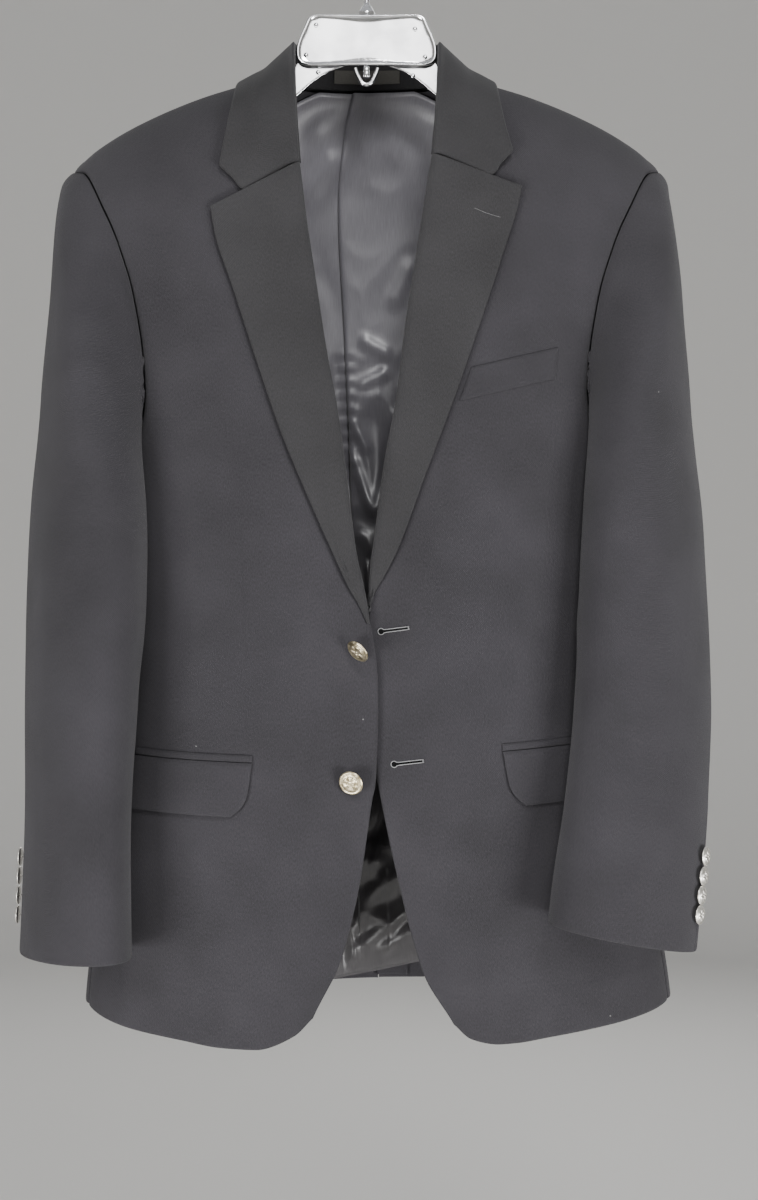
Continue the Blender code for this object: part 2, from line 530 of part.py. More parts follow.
sheet("back_lining", place(grid, 1), LINING, SATIN, False)
t, up = 2.2 - np.array([0.36, 0.24, 0.12, 0.0]), np.array([0.16, 0.34, 0.52])
seam, fold = (np.stack([through(t, COLLAR, k + c) for c in (1, 2, 3)], -1) for k in (0, 3))
half = seam + (fold - seam) * up[:, None, None]
grid = np.concatenate([half * np.array([-1, 1, 1]), half[:, -2::-1]], 1)
inward = unit(grid * np.array([-1, -1, 0]))
sheet("neck_label", grid + inward * (TAPE_CLOTH + 2 * SEAM), TAPE_CLOTH, TAPE)

# Hanger
half = np.array(ARMS, float)[:, 0]
out = np.concatenate([-half[:0:-1], half])
turn = np.linspace(0, 2 * np.pi, 16, endpoint=False)
bm = bmesh.new()
rings = []
for x in out:
    top, low, deep = (through(abs(x), ARMS, c) for c in (1, 2, 3))
    y, z = ARMS_Y + deep * np.cos(turn), (top + low) / 2 + (top - low) / 2 * np.sin(turn)
    rings.append([bm.verts.new(Vector((x, *point)) * MM) for point in zip(y, z)])
for one, two in zip(rings, rings[1:]):
    for j in range(len(turn)):
        k = (j + 1) % len(turn)
        bm.faces.new((one[j], one[k], two[k], two[j]))
bm.faces.new(rings[0][::-1])
bm.faces.new(rings[-1])
bmesh.ops.recalc_face_normals(bm, faces=bm.faces)
mesh = bpy.data.meshes.new("hanger_arms")
bm.to_mesh(mesh)
bm.free()
put("hanger_arms", mesh, CHROME)

half = along(PLATE, np.linspace(0, 1, 12))
outline = np.concatenate([half, half[::-1] * np.array([-1, 1])])
curve = bpy.data.curves.new("hanger_plate", "CURVE")
curve.dimensions = "2D"
curve.fill_mode = "BOTH"
curve.extrude = (PLATE_DEPTH / 2 - PLATE_ROUND) * MM
curve.bevel_depth = PLATE_ROUND * MM
curve.bevel_resolution = 1
spline = curve.splines.new("POLY")
spline.points.add(len(outline) - 1)
spline.use_cyclic_u = True
inset = 1 - PLATE_ROUND / max(x for x, _ in PLATE)
for point, (x, z) in zip(spline.points, outline):
    point.co = (x * inset * MM, (z - PLATE_MIDDLE) * inset * MM, 0, 1)
plate = put("hanger_plate", curve, CHROME)
plate.location = (0, PLATE_Y * MM, PLATE_MIDDLE * MM)
plate.rotation_euler = (np.pi / 2, 0, 0)

bend = np.radians(np.linspace(*HOOK_ENDS, 22))
middle = HOOK_RADIUS + WIRE
crook = np.column_stack([middle * np.cos(bend), 0 * bend, -HOOK_RADIUS + middle * np.sin(bend)])
wire("hanger_hook", [*STEM, *crook], WIRE, CHROME)
half = [(x, PLATE_Y, z) for x, z in LOOP]
wire("hanger_loop", half + [(-x, y, z) for x, y, z in half[-2::-1]], LOOP_WIRE, CHROME)
bm = bmesh.new()
bmesh.ops.create_cone(bm, cap_ends=True, segments=12, radius1=LOCK_RADIUS * MM, radius2=LOCK_RADIUS * MM,
                      depth=LOCK_HEIGHT * MM)
mesh = bpy.data.meshes.new("hanger_lock")
bm.to_mesh(mesh)
bm.free()
lock = put("hanger_lock", mesh, CHROME)
lock.location = (0, PLATE_Y * MM, (LOCK_TOP - LOCK_HEIGHT / 2) * MM)
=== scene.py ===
# %% [markdown]
# # A blazer on its hanger
#
# A tailored coat is a set of flat cloth pieces sewn into a hollow shape. Here it hangs unfastened on a
# chrome hanger. Each piece is worked out as a surface: points on a grid, found from a few tables of
# measurements and a formula. The grid becomes a mesh, and Solidify gives the cloth its wall.
# Lengths in the tables are millimetres, x runs to the wearer's left, y to the back and z up.

import bmesh
import bpy
import numpy as np
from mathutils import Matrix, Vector


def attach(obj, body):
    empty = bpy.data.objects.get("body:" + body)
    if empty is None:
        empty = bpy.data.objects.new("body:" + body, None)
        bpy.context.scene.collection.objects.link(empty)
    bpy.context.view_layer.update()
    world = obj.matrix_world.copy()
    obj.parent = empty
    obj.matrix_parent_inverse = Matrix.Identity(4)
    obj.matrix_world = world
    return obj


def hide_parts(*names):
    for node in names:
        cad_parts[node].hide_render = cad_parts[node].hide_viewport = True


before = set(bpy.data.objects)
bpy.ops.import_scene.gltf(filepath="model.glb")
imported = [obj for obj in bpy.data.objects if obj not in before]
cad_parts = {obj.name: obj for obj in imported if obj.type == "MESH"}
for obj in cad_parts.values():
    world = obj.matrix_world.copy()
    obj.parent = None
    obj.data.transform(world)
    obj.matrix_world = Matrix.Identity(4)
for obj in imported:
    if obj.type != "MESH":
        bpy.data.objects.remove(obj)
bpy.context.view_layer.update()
MM = 0.001
WEARER = {-1: "right", 1: "left"}
print("solids in the frame:", len(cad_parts))

# %% [markdown]
# ## Curves, soft steps and soft noise
#
# A tailor draws a line through a few measured points. through() does so for one column of a table,
# and along() does so for points in space. cloud() is smooth noise, which gives cloth the slight
# waves that no table could list. It is seeded, so every run gives the same coat.

# %% Curves and steps


def through(x, rows, column=1):
    """Cubic pieces between table rows, with slopes that never overshoot: the harmonic mean of both sides."""
    rows = np.asarray(rows, float)
    xs, ys = rows[:, 0], rows[:, column]
    if xs[0] > xs[-1]:
        xs, ys = xs[::-1], ys[::-1]
    h = np.diff(xs)
    d = np.diff(ys) / h
    both = d[:-1] * d[1:]
    m = np.concatenate([[d[0]], np.where(both > 0, 2 * both / np.where(both > 0, d[:-1] + d[1:], 1), 0), [d[-1]]])
    x = np.clip(np.asarray(x, float), xs[0], xs[-1])
    i = np.clip(np.searchsorted(xs, x, side="right") - 1, 0, len(h) - 1)
    t = (x - xs[i]) / h[i]
    return ((2 * t**3 - 3 * t**2 + 1) * ys[i] + (t**3 - 2 * t**2 + t) * h[i] * m[i]
            + (-2 * t**3 + 3 * t**2) * ys[i + 1] + (t**3 - t**2) * h[i] * m[i + 1])


def along(points, t):
    """Points at the fractions t of the length of a smooth curve through the points given."""
    points = np.asarray(points, float)
    far = np.concatenate([[0], np.cumsum(np.linalg.norm(np.diff(points, axis=0), axis=1))])
    rows = np.column_stack([far / far[-1], points])
    return np.stack([through(t, rows, c) for c in range(1, rows.shape[1])], -1)


def smooth(t):
    """A soft step: 3t^2 - 2t^3 between 0 and 1."""
    t = np.clip(t, 0, 1)
    return t * t * (3 - 2 * t)


def unit(v):
    return v / np.maximum(np.linalg.norm(v, axis=-1, keepdims=True), 1e-9)


def spread(n, ends):
    """n numbers from 0 to 1, closer together at both ends: t minus a sine of t."""
    t = np.linspace(0, 1, n)
    return t - ends * np.sin(2 * np.pi * t) / (2 * np.pi)


def across(columns, n, ends=0.0):
    """Refines a few columns of points to n columns: a cubic through them, spaced by their mean distance."""
    columns = np.asarray(columns, float)
    far = np.concatenate([[0], np.cumsum(np.linalg.norm(np.diff(columns, axis=1), axis=2).mean(0))])
    x = far[-1] * spread(n, ends)
    slope = np.gradient(columns, far, axis=1)
    i = np.clip(np.searchsorted(far, x, side="right") - 1, 0, len(far) - 2)
    h = (far[i + 1] - far[i])[None, :, None]
    t = ((x - far[i])[None, :, None]) / h
    return ((2 * t**3 - 3 * t**2 + 1) * columns[:, i] + (t**3 - 2 * t**2 + t) * h * slope[:, i]
            + (-2 * t**3 + 3 * t**2) * columns[:, i + 1] + (t**3 - t**2) * h * slope[:, i + 1])


# %% Soft noise


def cloud(p, size, seed):
    """Value noise from -1 to 1: a hashed number at each corner of a lattice, blended with soft steps."""
    q = p / np.asarray(size, float)
    cell = np.floor(q).astype(np.int64)
    f = smooth(q - cell)
    total = 0.0
    for corner in np.ndindex(2, 2, 2):
        k = cell + np.array(corner)
        mixed = (k[..., 0] * 73856093) ^ (k[..., 1] * 19349663) ^ (k[..., 2] * 83492791) ^ (seed * 2654435761)
        mixed = (mixed ^ (mixed >> 13)) * 1274126177
        value = ((mixed ^ (mixed >> 16)) & 0xFFFF) / 32767.5 - 1
        weight = np.prod(np.where(np.array(corner) == 1, f, 1 - f), -1)
        total = total + value * weight
    return total


# %% [markdown]
# ## The form that the cloth follows
#
# A hanging coat is a slightly flattened tube: wide at the shoulders, nipped at the waist. Each level
# is a superellipse, between an ellipse and a rectangle, and the shoulder seam rounds it off at the
# top. Every piece on the body is placed by two numbers, its degrees round the tube and its height,
# so neighbouring pieces always meet.

# %% Measurements of the form
RIDGE_DROP, RIDGE_POWER, SIDE_POWER = 110.0, 2.2, 2.8
FRONT_SEAM, BACK_SEAM = 76.0, 112.0
TOP_SEAM_FRONT, TOP_SEAM_BACK = 152.0, 298.0
SEAM_TURN = 0.1         # half a side seam's gap, in degrees
RECESS = 4.5            # the buttonhole side lies this much under the button side
NECK, SHOULDER_TIP = 74.5, 246.3        # the shoulder seam's ends, out from the middle
CLOTH, LAPEL, LINING = 1.6, 2.0, 0.5
SHOULDER = (  # out from the middle, height
    (0, -96), (40, -104), (76, -120), (140, -140), (190, -161), (226, -182), (247, -200))
BODY = (  # height, half width, front depth, back depth, drift
    (-930, 248, 80, 82, 10.5), (-900, 246, 80, 82, 10), (-820, 236, 79, 80, 8.5),
    (-700, 216, 77, 74, 6), (-600, 204, 74, 66, 4), (-520, 202, 75, 68, 2), (-442, 205, 77, 76, 0.5),
    (-340, 222, 73, 80, 0), (-260, 240, 70, 78, 0), (-190, 250, 68, 74, 0), (-80, 250, 66, 70, 0))
ARMHOLE = (  # degrees round the arm, degrees round the body, height
    (0, 80, -200.5), (12, 66.5, -206), (38, 56.9, -241), (59, 52.3, -273), (82, 50.3, -309),
    (104, 50.2, -345), (128, 52.2, -387), (145, 56.6, -415), (160, 65.6, -434), (168, 76, -438.5),
    (180, 90, -442), (200, 104, -434), (223, 112, -405), (250, 117.4, -360), (279, 119.8, -310),
    (309, 118.8, -262), (338, 112.9, -220), (360, 100, -200.5))

# %% The form


def half_width(z):
    return through(z, BODY, 1)


def under_seam(x, z):
    """0 at the shoulder seam, 1 where the chest has its full depth: a quarter of a superellipse."""
    drop = np.clip((through(np.abs(x), SHOULDER) - z) / RIDGE_DROP, 0, 1)
    return (1 - (1 - drop) ** RIDGE_POWER) ** (1 / RIDGE_POWER)


def to_round(x, z):
    """Degrees round the form at a distance out: the arc sine of its share of the half width."""
    part = np.clip(np.abs(x) / half_width(z), 0, 1)
    return np.degrees(np.sign(x) * np.arcsin(part ** (SIDE_POWER / 2)))


def from_round(round_, z):
    return half_width(z) * np.abs(np.sin(np.radians(round_))) ** (2 / SIDE_POWER)


def body(round_, z):
    """Superellipse sections: sine and cosine of the angle, each to the power 2 / SIDE_POWER."""
    a = np.radians(round_)
    x = np.sign(np.sin(a)) * half_width(z) * np.abs(np.sin(a)) ** (2 / SIDE_POWER)
    face = np.where(np.abs(round_) < 90, -1.0, 1.0)
    depth = np.where(face < 0, through(z, BODY, 2), through(z, BODY, 3))
    y = face * depth * under_seam(x, z) * np.abs(np.cos(a)) ** (2 / SIDE_POWER)
    y = y + face * 0.3 * (1 - smooth(under_seam(x, z) / 0.3))
    return np.stack([x, y, z + 0 * x], -1)


def body_normal(round_, z):
    round_across = body(round_ + 0.4, z) - body(round_ - 0.4, z)
    up = body(round_, z + 1.0) - body(round_, z - 1.0)
    return unit(np.cross(round_across, up))


def drape(p):
    """Slight waves of hanging cloth, longer up and down than across, and none at the shoulder seam."""
    waves = 1.0 * cloud(p, (62, 900, 210), 3) + 0.45 * cloud(p, (31, 900, 95), 8)
    return waves * smooth(under_seam(p[..., 0], p[..., 2]) * 1.4 - 0.4) * smooth((-150 - p[..., 2]) / 90)


def shell(round_, z, off=0.0):
    """The form with its drape, moved out by off."""
    points = body(round_, z)
    return points + body_normal(round_, z) * (off + drape(points))[..., None]


def place(points, side):
    """Mirrors points to a side and adds the drift of the hanging coat."""
    points = points * np.array([side, 1, 1])
    points[..., 0] += through(points[..., 2], BODY, 4)
    return points


def armhole(theta):
    return np.stack([through(theta, ARMHOLE, 1), through(theta, ARMHOLE, 2)], -1)


def patch(bottom, top, left, right):
    """A grid between four edges: the two blends of opposite edges, less the blend of the corners."""
    m, n = len(bottom), len(left)
    u, v = np.linspace(0, 1, m)[None, :, None], np.linspace(0, 1, n)[:, None, None]
    return ((1 - v) * bottom[None] + v * top[None] + (1 - u) * left[:, None] + u * right[:, None]
            - (1 - u) * (1 - v) * bottom[0] - u * (1 - v) * bottom[-1] - (1 - u) * v * top[0] - u * v * top[-1])


# %% [markdown]
# ## From a grid to a mesh
#
# A grid of points is a sheet with rows and columns. Its faces are found from the order of the
# points, and its UV map holds real lengths along the cloth, so a weave has its true size on every
# piece. turn_edges() lets the sheet's edges curve inward, as an edge does when it is turned and pressed.

# %% Sheets


def facing(grid, outward):
    """Which way the sheet faces: the cross product of its two directions."""
    n = unit(np.cross(np.gradient(grid, axis=1), np.gradient(grid, axis=0)))
    return n if outward else -n


def edge_distance(grid, edges="lrbt"):
    """The distance along the cloth to the nearest of the named edges."""
    step_u = np.linalg.norm(np.diff(grid, axis=1), axis=2)
    step_v = np.linalg.norm(np.diff(grid, axis=0), axis=2)
    from_left = np.concatenate([np.zeros((len(grid), 1)), np.cumsum(step_u, 1)], 1)
    from_low = np.concatenate([np.zeros((1, grid.shape[1])), np.cumsum(step_v, 0)], 0)
    far = {"l": from_left, "r": from_left[:, -1:] - from_left, "b": from_low, "t": from_low[-1:] - from_low}
    return np.min([far[e] for e in edges], axis=0)


def turn_edges(grid, outward, depth, width, edges="lrbt"):
    """Moves the edges in by depth, with a bell curve of the distance to them."""
    fall = depth * np.exp(-((edge_distance(grid, edges) / width) ** 2))
    return grid - facing(grid, outward) * fall[..., None]


def sheet_mesh(name, grid, outward=True, ring=False):
    """A mesh of four-sided faces between neighbouring points, with a UV map in metres along the cloth."""
    rows, cols = grid.shape[:2]
    index = np.arange(rows * cols).reshape(rows, cols)
    if ring:
        index = np.concatenate([index, index[:, :1]], 1)
    quads = np.stack([index[:-1, :-1], index[:-1, 1:], index[1:, 1:], index[1:, :-1]], -1).reshape(-1, 4)
    if not outward:
        quads = quads[:, ::-1]
    mesh = bpy.data.meshes.new(name)
    mesh.from_pydata((grid.reshape(-1, 3) * MM).tolist(), [], quads.tolist())
    step_u = np.linalg.norm(np.diff(grid, axis=1), axis=2)
    step_v = np.linalg.norm(np.diff(grid, axis=0), axis=2)
    u = np.concatenate([np.zeros((rows, 1)), np.cumsum(step_u, 1)], 1)
    u = u - u[:, cols // 2:cols // 2 + 1]
    v = np.concatenate([np.zeros((1, cols)), np.cumsum(step_v, 0)], 0)
    uv = np.stack([u, v], -1).reshape(-1, 2) * MM
    loops = np.zeros(len(mesh.loops), np.int32)
    mesh.loops.foreach_get("vertex_index", loops)
    mesh.uv_layers.new(name="Cloth").data.foreach_set("uv", uv[loops].ravel())
    mesh.shade_smooth()
    return mesh


def show(name, mesh, look, node=None, wall=0.0):
    """Links a piece, gives it its material and wall, and lets it ride on the coat in place of its solid."""
    mesh.materials.append(look)
    print(name, "surface, square metres:", round(sum(face.area for face in mesh.polygons), 4))
    piece = bpy.data.objects.new(name, mesh)
    bpy.context.scene.collection.objects.link(piece)
    if wall:
        solid = piece.modifiers.new("Wall", "SOLIDIFY")
        solid.thickness = wall * MM
        solid.offset = -1
    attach(piece, "root")
    if node:
        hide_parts(*([node] if isinstance(node, str) else node))
    return piece


def join(meshes):
    """One mesh of several: their points and faces one after the other."""
    maker = bmesh.new()
    for mesh in meshes:
        maker.from_mesh(mesh)
        bpy.data.meshes.remove(mesh)
    whole = bpy.data.meshes.new("joined")
    maker.to_mesh(whole)
    maker.free()
    whole.shade_smooth()
    return whole


def tube(path, radius, sides=16, caps=True):
    """A round bar: circles across the path, each turned square to it by the shortest way."""
    path = np.asarray(path, float)
    radius = np.broadcast_to(radius, len(path))
    ahead = unit(np.gradient(path, axis=0))
    first = np.array([0.0, 1, 0]) if abs(ahead[0, 1]) < 0.9 else np.array([1.0, 0, 0])
    sideways = [unit(first - ahead[0] * (first @ ahead[0]))]
    for way in ahead[1:]:
        sideways.append(unit(sideways[-1] - way * (sideways[-1] @ way)))
    sideways = np.array(sideways)
    upward = np.cross(ahead, sideways)
    a = np.linspace(0, 2 * np.pi, sides, endpoint=False)
    grid = (path[:, None] + radius[:, None, None]
            * (sideways[:, None] * np.cos(a)[None, :, None] + upward[:, None] * np.sin(a)[None, :, None]))
    if caps:
        grid = np.concatenate([np.repeat(path[:1, None], sides, 1), grid, np.repeat(path[-1:, None], sides, 1)])
    mesh = sheet_mesh("tube", grid, True, ring=True)
    return tidy(mesh)


def tidy(mesh):
    """Merges doubled points and lets all faces point outwards."""
    maker = bmesh.new()
    maker.from_mesh(mesh)
    bmesh.ops.remove_doubles(maker, verts=maker.verts, dist=1e-6)
    bmesh.ops.recalc_face_normals(maker, faces=maker.faces)
    maker.to_mesh(mesh)
    maker.free()
    mesh.shade_smooth()
    return mesh


def turned(profile, at, axis, sides=48, relief=None):
    """A lathe shape: rows of radius and height turned about an axis, with a relief added to the height."""
    profile = np.asarray(profile, float)
    axis = unit(np.asarray(axis, float))
    first = np.array([1.0, 0, 0]) if abs(axis[0]) < 0.9 else np.array([0, 0, 1.0])
    right = unit(np.cross(axis, first))
    up = np.cross(right, axis)
    a = np.linspace(0, 2 * np.pi, sides, endpoint=False)
    r, h = profile[:, :1] + 0 * a, profile[:, 1:2] + 0 * a
    if relief is not None:
        h = h + relief(r, a[None, :] + 0 * r)
    grid = (np.asarray(at, float) + right * (r * np.cos(a))[..., None] + up * (r * np.sin(a))[..., None]
            + axis * h[..., None])
    return tidy(sheet_mesh("turned", grid, True, ring=True))


# %% [markdown]
# ## Cloth, satin and metal
#
# Fine worsted wool is nearly black, with a dry, slightly hairy surface: a high roughness, a little
# sheen and a twill weave far below a millimetre. The effects that several materials share are node
# groups: the weave, the fine streaks along the yarn and the stray specks of lint. Each material
# places them with its own values.

# %% Node helpers


def new_group(name, inputs, outputs):
    """An empty shader group with named sockets, each a name, a kind and a value."""
    group = bpy.data.node_groups.new(name, "ShaderNodeTree")
    for label, kind, value in inputs:
        socket = group.interface.new_socket(label, in_out="INPUT", socket_type=kind)
        if value is not None:
            socket.default_value = value
    for label, kind in outputs:
        group.interface.new_socket(label, in_out="OUTPUT", socket_type=kind)
    return group, group.nodes.new("NodeGroupInput"), group.nodes.new("NodeGroupOutput")


def node(tree, kind, settings=(), **sockets):
    """One node; a socket takes a plain value or another node's output."""
    made = tree.nodes.new(kind)
    for key, value in dict(settings).items():
        setattr(made, key, value)
    for key, value in sockets.items():
        target = made.inputs[int(key[1:])] if key[0] == "i" and key[1:].isdigit() else made.inputs[key.replace("_", " ")]
        if isinstance(value, bpy.types.NodeSocket):
            tree.links.new(value, target)
        else:
            target.default_value = value
    return made


def maths(tree, how, a, b=0.0):
    return node(tree, "ShaderNodeMath", {"operation": how}, i0=a, i1=b).outputs[0]


# %% The shared effects
weave, take, give = new_group(
    "twill weave", [("Cloth", "NodeSocketVector", None), ("Ribs per metre", "NodeSocketFloat", 900.0),
                    ("Slant", "NodeSocketFloat", 1.0)], [("Height", "NodeSocketFloat")])
split = node(weave, "ShaderNodeSeparateXYZ", Vector=take.outputs[0])
slanted = maths(weave, "ADD", maths(weave, "MULTIPLY", split.outputs[0], take.outputs[2]), split.outputs[1])
rib = maths(weave, "SINE", maths(weave, "MULTIPLY", maths(weave, "MULTIPLY", slanted, take.outputs[1]), 6.2832))
yarn = maths(weave, "SINE", maths(weave, "MULTIPLY", maths(weave, "MULTIPLY", split.outputs[0], take.outputs[1]), 12.566))
weave.links.new(maths(weave, "ADD", maths(weave, "MULTIPLY", rib, 0.5), maths(weave, "MULTIPLY", yarn, 0.25)),
                give.inputs[0])

streaks, take, give = new_group(
    "yarn streaks", [("Cloth", "NodeSocketVector", None), ("Fine", "NodeSocketFloat", 700.0),
                     ("Stretch", "NodeSocketFloat", 0.06)], [("Value", "NodeSocketFloat")])
stretched = node(streaks, "ShaderNodeCombineXYZ", X=1.0, Y=take.outputs[2], Z=1.0)
long_way = node(streaks, "ShaderNodeVectorMath", {"operation": "MULTIPLY"}, i0=take.outputs[0], i1=stretched.outputs[0])
hairs = node(streaks, "ShaderNodeTexNoise", Vector=long_way.outputs[0], Scale=take.outputs[1], Detail=3.0, Roughness=0.6)
streaks.links.new(hairs.outputs["Fac"], give.inputs[0])

lint, take, give = new_group(
    "stray lint", [("Place", "NodeSocketVector", None), ("Specks per metre", "NodeSocketFloat", 26.0),
                   ("Size", "NodeSocketFloat", 0.012)], [("Speck", "NodeSocketFloat")])
speck = node(lint, "ShaderNodeTexVoronoi", Vector=take.outputs[0], Scale=take.outputs[1], Randomness=1.0)
rare = node(lint, "ShaderNodeSeparateColor", Color=speck.outputs["Color"])
near = node(lint, "ShaderNodeMath", {"operation": "LESS_THAN"}, i0=speck.outputs["Distance"], i1=take.outputs[2])
few = node(lint, "ShaderNodeMath", {"operation": "GREATER_THAN"}, i0=rare.outputs[0], i1=0.86)
lint.links.new(maths(lint, "MULTIPLY", near.outputs[0], few.outputs[0]), give.inputs[0])

# %% The materials


def material(name, rough, metallic=0.0, **sockets):
    """A Principled material, with its plain values on the shader's own sockets."""
    made = bpy.data.materials.new(name)
    made.use_nodes = True
    tree = made.node_tree
    shader = tree.nodes["Principled BSDF"]
    shader.inputs["Roughness"].default_value = rough
    shader.inputs["Metallic"].default_value = metallic
    for key, value in sockets.items():
        shader.inputs[key.replace("_", " ")].default_value = value
    return made, tree, shader


def use(tree, group, **sockets):
    placed = tree.nodes.new("ShaderNodeGroup")
    placed.node_tree = group
    for key, value in sockets.items():
        target = placed.inputs[key.replace("_", " ")]
        if isinstance(value, bpy.types.NodeSocket):
            tree.links.new(value, target)
        else:
            target.default_value = value
    return placed.outputs[0]


def ramp(tree, value, stops):
    """A colour ramp through stops of position and grey or colour."""
    made = node(tree, "ShaderNodeValToRGB", Fac=value)
    ends = made.color_ramp.elements
    while len(ends) < len(stops):
        ends.new(0.5)
    for end, (position, colour) in zip(ends, stops):
        end.position = position
        end.color = (*colour, 1) if hasattr(colour, "__len__") else (colour, colour, colour, 1)
    return made.outputs[0]


def wool(name, dark, light, twist=1.0, bump=0.35):
    made, tree, shader = material(name, 0.95, Sheen_Weight=0.06, Sheen_Roughness=0.6, Specular_IOR_Level=0.18)
    cloth = node(tree, "ShaderNodeUVMap", {"uv_map": "Cloth"}).outputs[0]
    spot = node(tree, "ShaderNodeTexCoord").outputs["Object"]
    fine = use(tree, streaks, Cloth=cloth, Fine=1100.0, Stretch=0.4)
    broad = node(tree, "ShaderNodeTexNoise", Vector=spot, Scale=14.0, Detail=2.0).outputs["Fac"]
    both = maths(tree, "ADD", maths(tree, "MULTIPLY", fine, 0.6), maths(tree, "MULTIPLY", broad, 0.4))
    ground = ramp(tree, both, ((0.3, dark), (0.7, light)))
    dust = use(tree, lint, Place=spot, Specks_per_metre=30.0, Size=0.02)
    dusted = node(tree, "ShaderNodeMix", {"data_type": "RGBA"}, Factor=dust, A=ground, B=(0.13, 0.13, 0.13, 1))
    tree.links.new(dusted.outputs[2], shader.inputs["Base Color"])
    height = maths(tree, "ADD", use(tree, weave, Cloth=cloth, Ribs_per_metre=700.0, Slant=twist), fine)
    raised = node(tree, "ShaderNodeBump", Strength=bump, Distance=0.0002, Height=height)
    tree.links.new(raised.outputs[0], shader.inputs["Normal"])
    return made


WOOL = wool("worsted wool", (0.0165, 0.0156, 0.0177), (0.0372, 0.035, 0.0402), bump=0.55)
LAPEL_WOOL = wool("pressed worsted wool", (0.0165, 0.016, 0.0168), (0.035, 0.034, 0.0362), -1.0, bump=0.55)

SATIN_PAINTED_SHADE, tree, shader = material("lining satin with painted shade", 0.33, Sheen_Weight=0.2, Anisotropic=0.4)
cloth = node(tree, "ShaderNodeUVMap", {"uv_map": "Cloth"}).outputs[0]
fine = use(tree, streaks, Cloth=cloth, Fine=1400.0, Stretch=0.05)
# Painted shade: the colour darkens downwards, from the satin's own tone above -0.32 m to a far darker one below -0.56
# m, for the shade deep inside the coat.
height = node(tree, "ShaderNodeSeparateXYZ", Vector=node(tree, "ShaderNodeTexCoord").outputs["Object"]).outputs["Z"]
high = node(tree, "ShaderNodeMapRange", Value=height, From_Min=-0.56, From_Max=-0.32).outputs["Result"]
painted_shade_tone = ramp(tree, fine, ((0.3, (0.03, 0.028, 0.03)), (0.7, (0.045, 0.042, 0.045))))
satin_tone = ramp(tree, fine, ((0.3, (0.15, 0.145, 0.162)), (0.7, (0.195, 0.189, 0.21))))
tone = node(tree, "ShaderNodeMix", {"data_type": "RGBA"}, i0=high, i6=painted_shade_tone, i7=satin_tone).outputs[2]
tree.links.new(tone, shader.inputs["Base Color"])
raised = node(tree, "ShaderNodeBump", Strength=0.12, Distance=0.0001, Height=fine)
tree.links.new(raised.outputs[0], shader.inputs["Normal"])

TAPE, tree, shader = material("label tape", 0.75)
cloth = node(tree, "ShaderNodeUVMap", {"uv_map": "Cloth"}).outputs[0]
fine = use(tree, streaks, Cloth=cloth, Fine=1600.0, Stretch=0.8)
tree.links.new(ramp(tree, fine, ((0.3, (0.05, 0.047, 0.042)), (0.7, (0.095, 0.09, 0.08)))), shader.inputs["Base Color"])
raised = node(tree, "ShaderNodeBump", Strength=0.3, Distance=0.0002, Height=use(tree, weave, Cloth=cloth, Ribs_per_metre=1200.0, Slant=0.0))
tree.links.new(raised.outputs[0], shader.inputs["Normal"])

THREAD, tree, shader = material("buttonhole thread", 0.6, Sheen_Weight=0.2)
spot = node(tree, "ShaderNodeTexCoord").outputs["Object"]
strand = node(tree, "ShaderNodeTexNoise", Vector=spot, Scale=2600.0, Detail=2.0).outputs["Fac"]
tree.links.new(ramp(tree, strand, ((0.3, (0.14, 0.14, 0.145)), (0.7, (0.28, 0.28, 0.285)))), shader.inputs["Base Color"])

# Near-black and hardly reflecting: the shank thread's own colour, and painted shade in the buttonhole slits.
DARK_THREAD_AND_SLIT_SHADE, tree, shader = material("dark thread and painted slit shade", 0.95, Specular_IOR_Level=0.02)
spot = node(tree, "ShaderNodeTexCoord").outputs["Object"]
strand = node(tree, "ShaderNodeTexNoise", Vector=spot, Scale=2600.0).outputs["Fac"]
tree.links.new(ramp(tree, strand, ((0.3, (0.003, 0.003, 0.003)), (0.7, (0.009, 0.009, 0.0095)))), shader.inputs["Base Color"])


def metal(name, low, high, rough_low, rough_high, size, bump):
    """Polished metal with faint cloudy tarnish and fine rubbing marks."""
    made, tree, shader = material(name, rough_low, 1.0)
    spot = node(tree, "ShaderNodeTexCoord").outputs["Object"]
    tarnish = node(tree, "ShaderNodeTexNoise", Vector=spot, Scale=size, Detail=4.0).outputs["Fac"]
    rubbed = node(tree, "ShaderNodeTexNoise", Vector=spot, Scale=size * 12, Detail=3.0).outputs["Fac"]
    tree.links.new(ramp(tree, tarnish, ((0.35, low), (0.65, high))), shader.inputs["Base Color"])
    tree.links.new(ramp(tree, rubbed, ((0.3, rough_low), (0.75, rough_high))), shader.inputs["Roughness"])
    raised = node(tree, "ShaderNodeBump", Strength=bump, Distance=0.0009, Height=tarnish)
    tree.links.new(raised.outputs[0], shader.inputs["Normal"])
    return made


CHROME = metal("hanger chrome", (0.62, 0.62, 0.63), (0.86, 0.86, 0.87), 0.06, 0.2, 45.0, 0.25)
GILT = metal("button metal", (0.30, 0.25, 0.15), (0.86, 0.76, 0.55), 0.3, 0.48, 300.0, 0.3)
SILVER = metal("cuff button metal", (0.62, 0.60, 0.55), (0.90, 0.88, 0.83), 0.3, 0.48, 300.0, 0.3)
print("materials:", len(bpy.data.materials))

# %% [markdown]
# ## Fronts, sides and backs
#
# The fronts overlap at the middle. Below the lapels their edges curve away, and the hem rounds into
# them. Each front is a grid between four edges: hem, shoulder seam, front edge and the line of the
# side seam and armhole. A dart takes in the waist: it shows as a faint groove down from the chest.

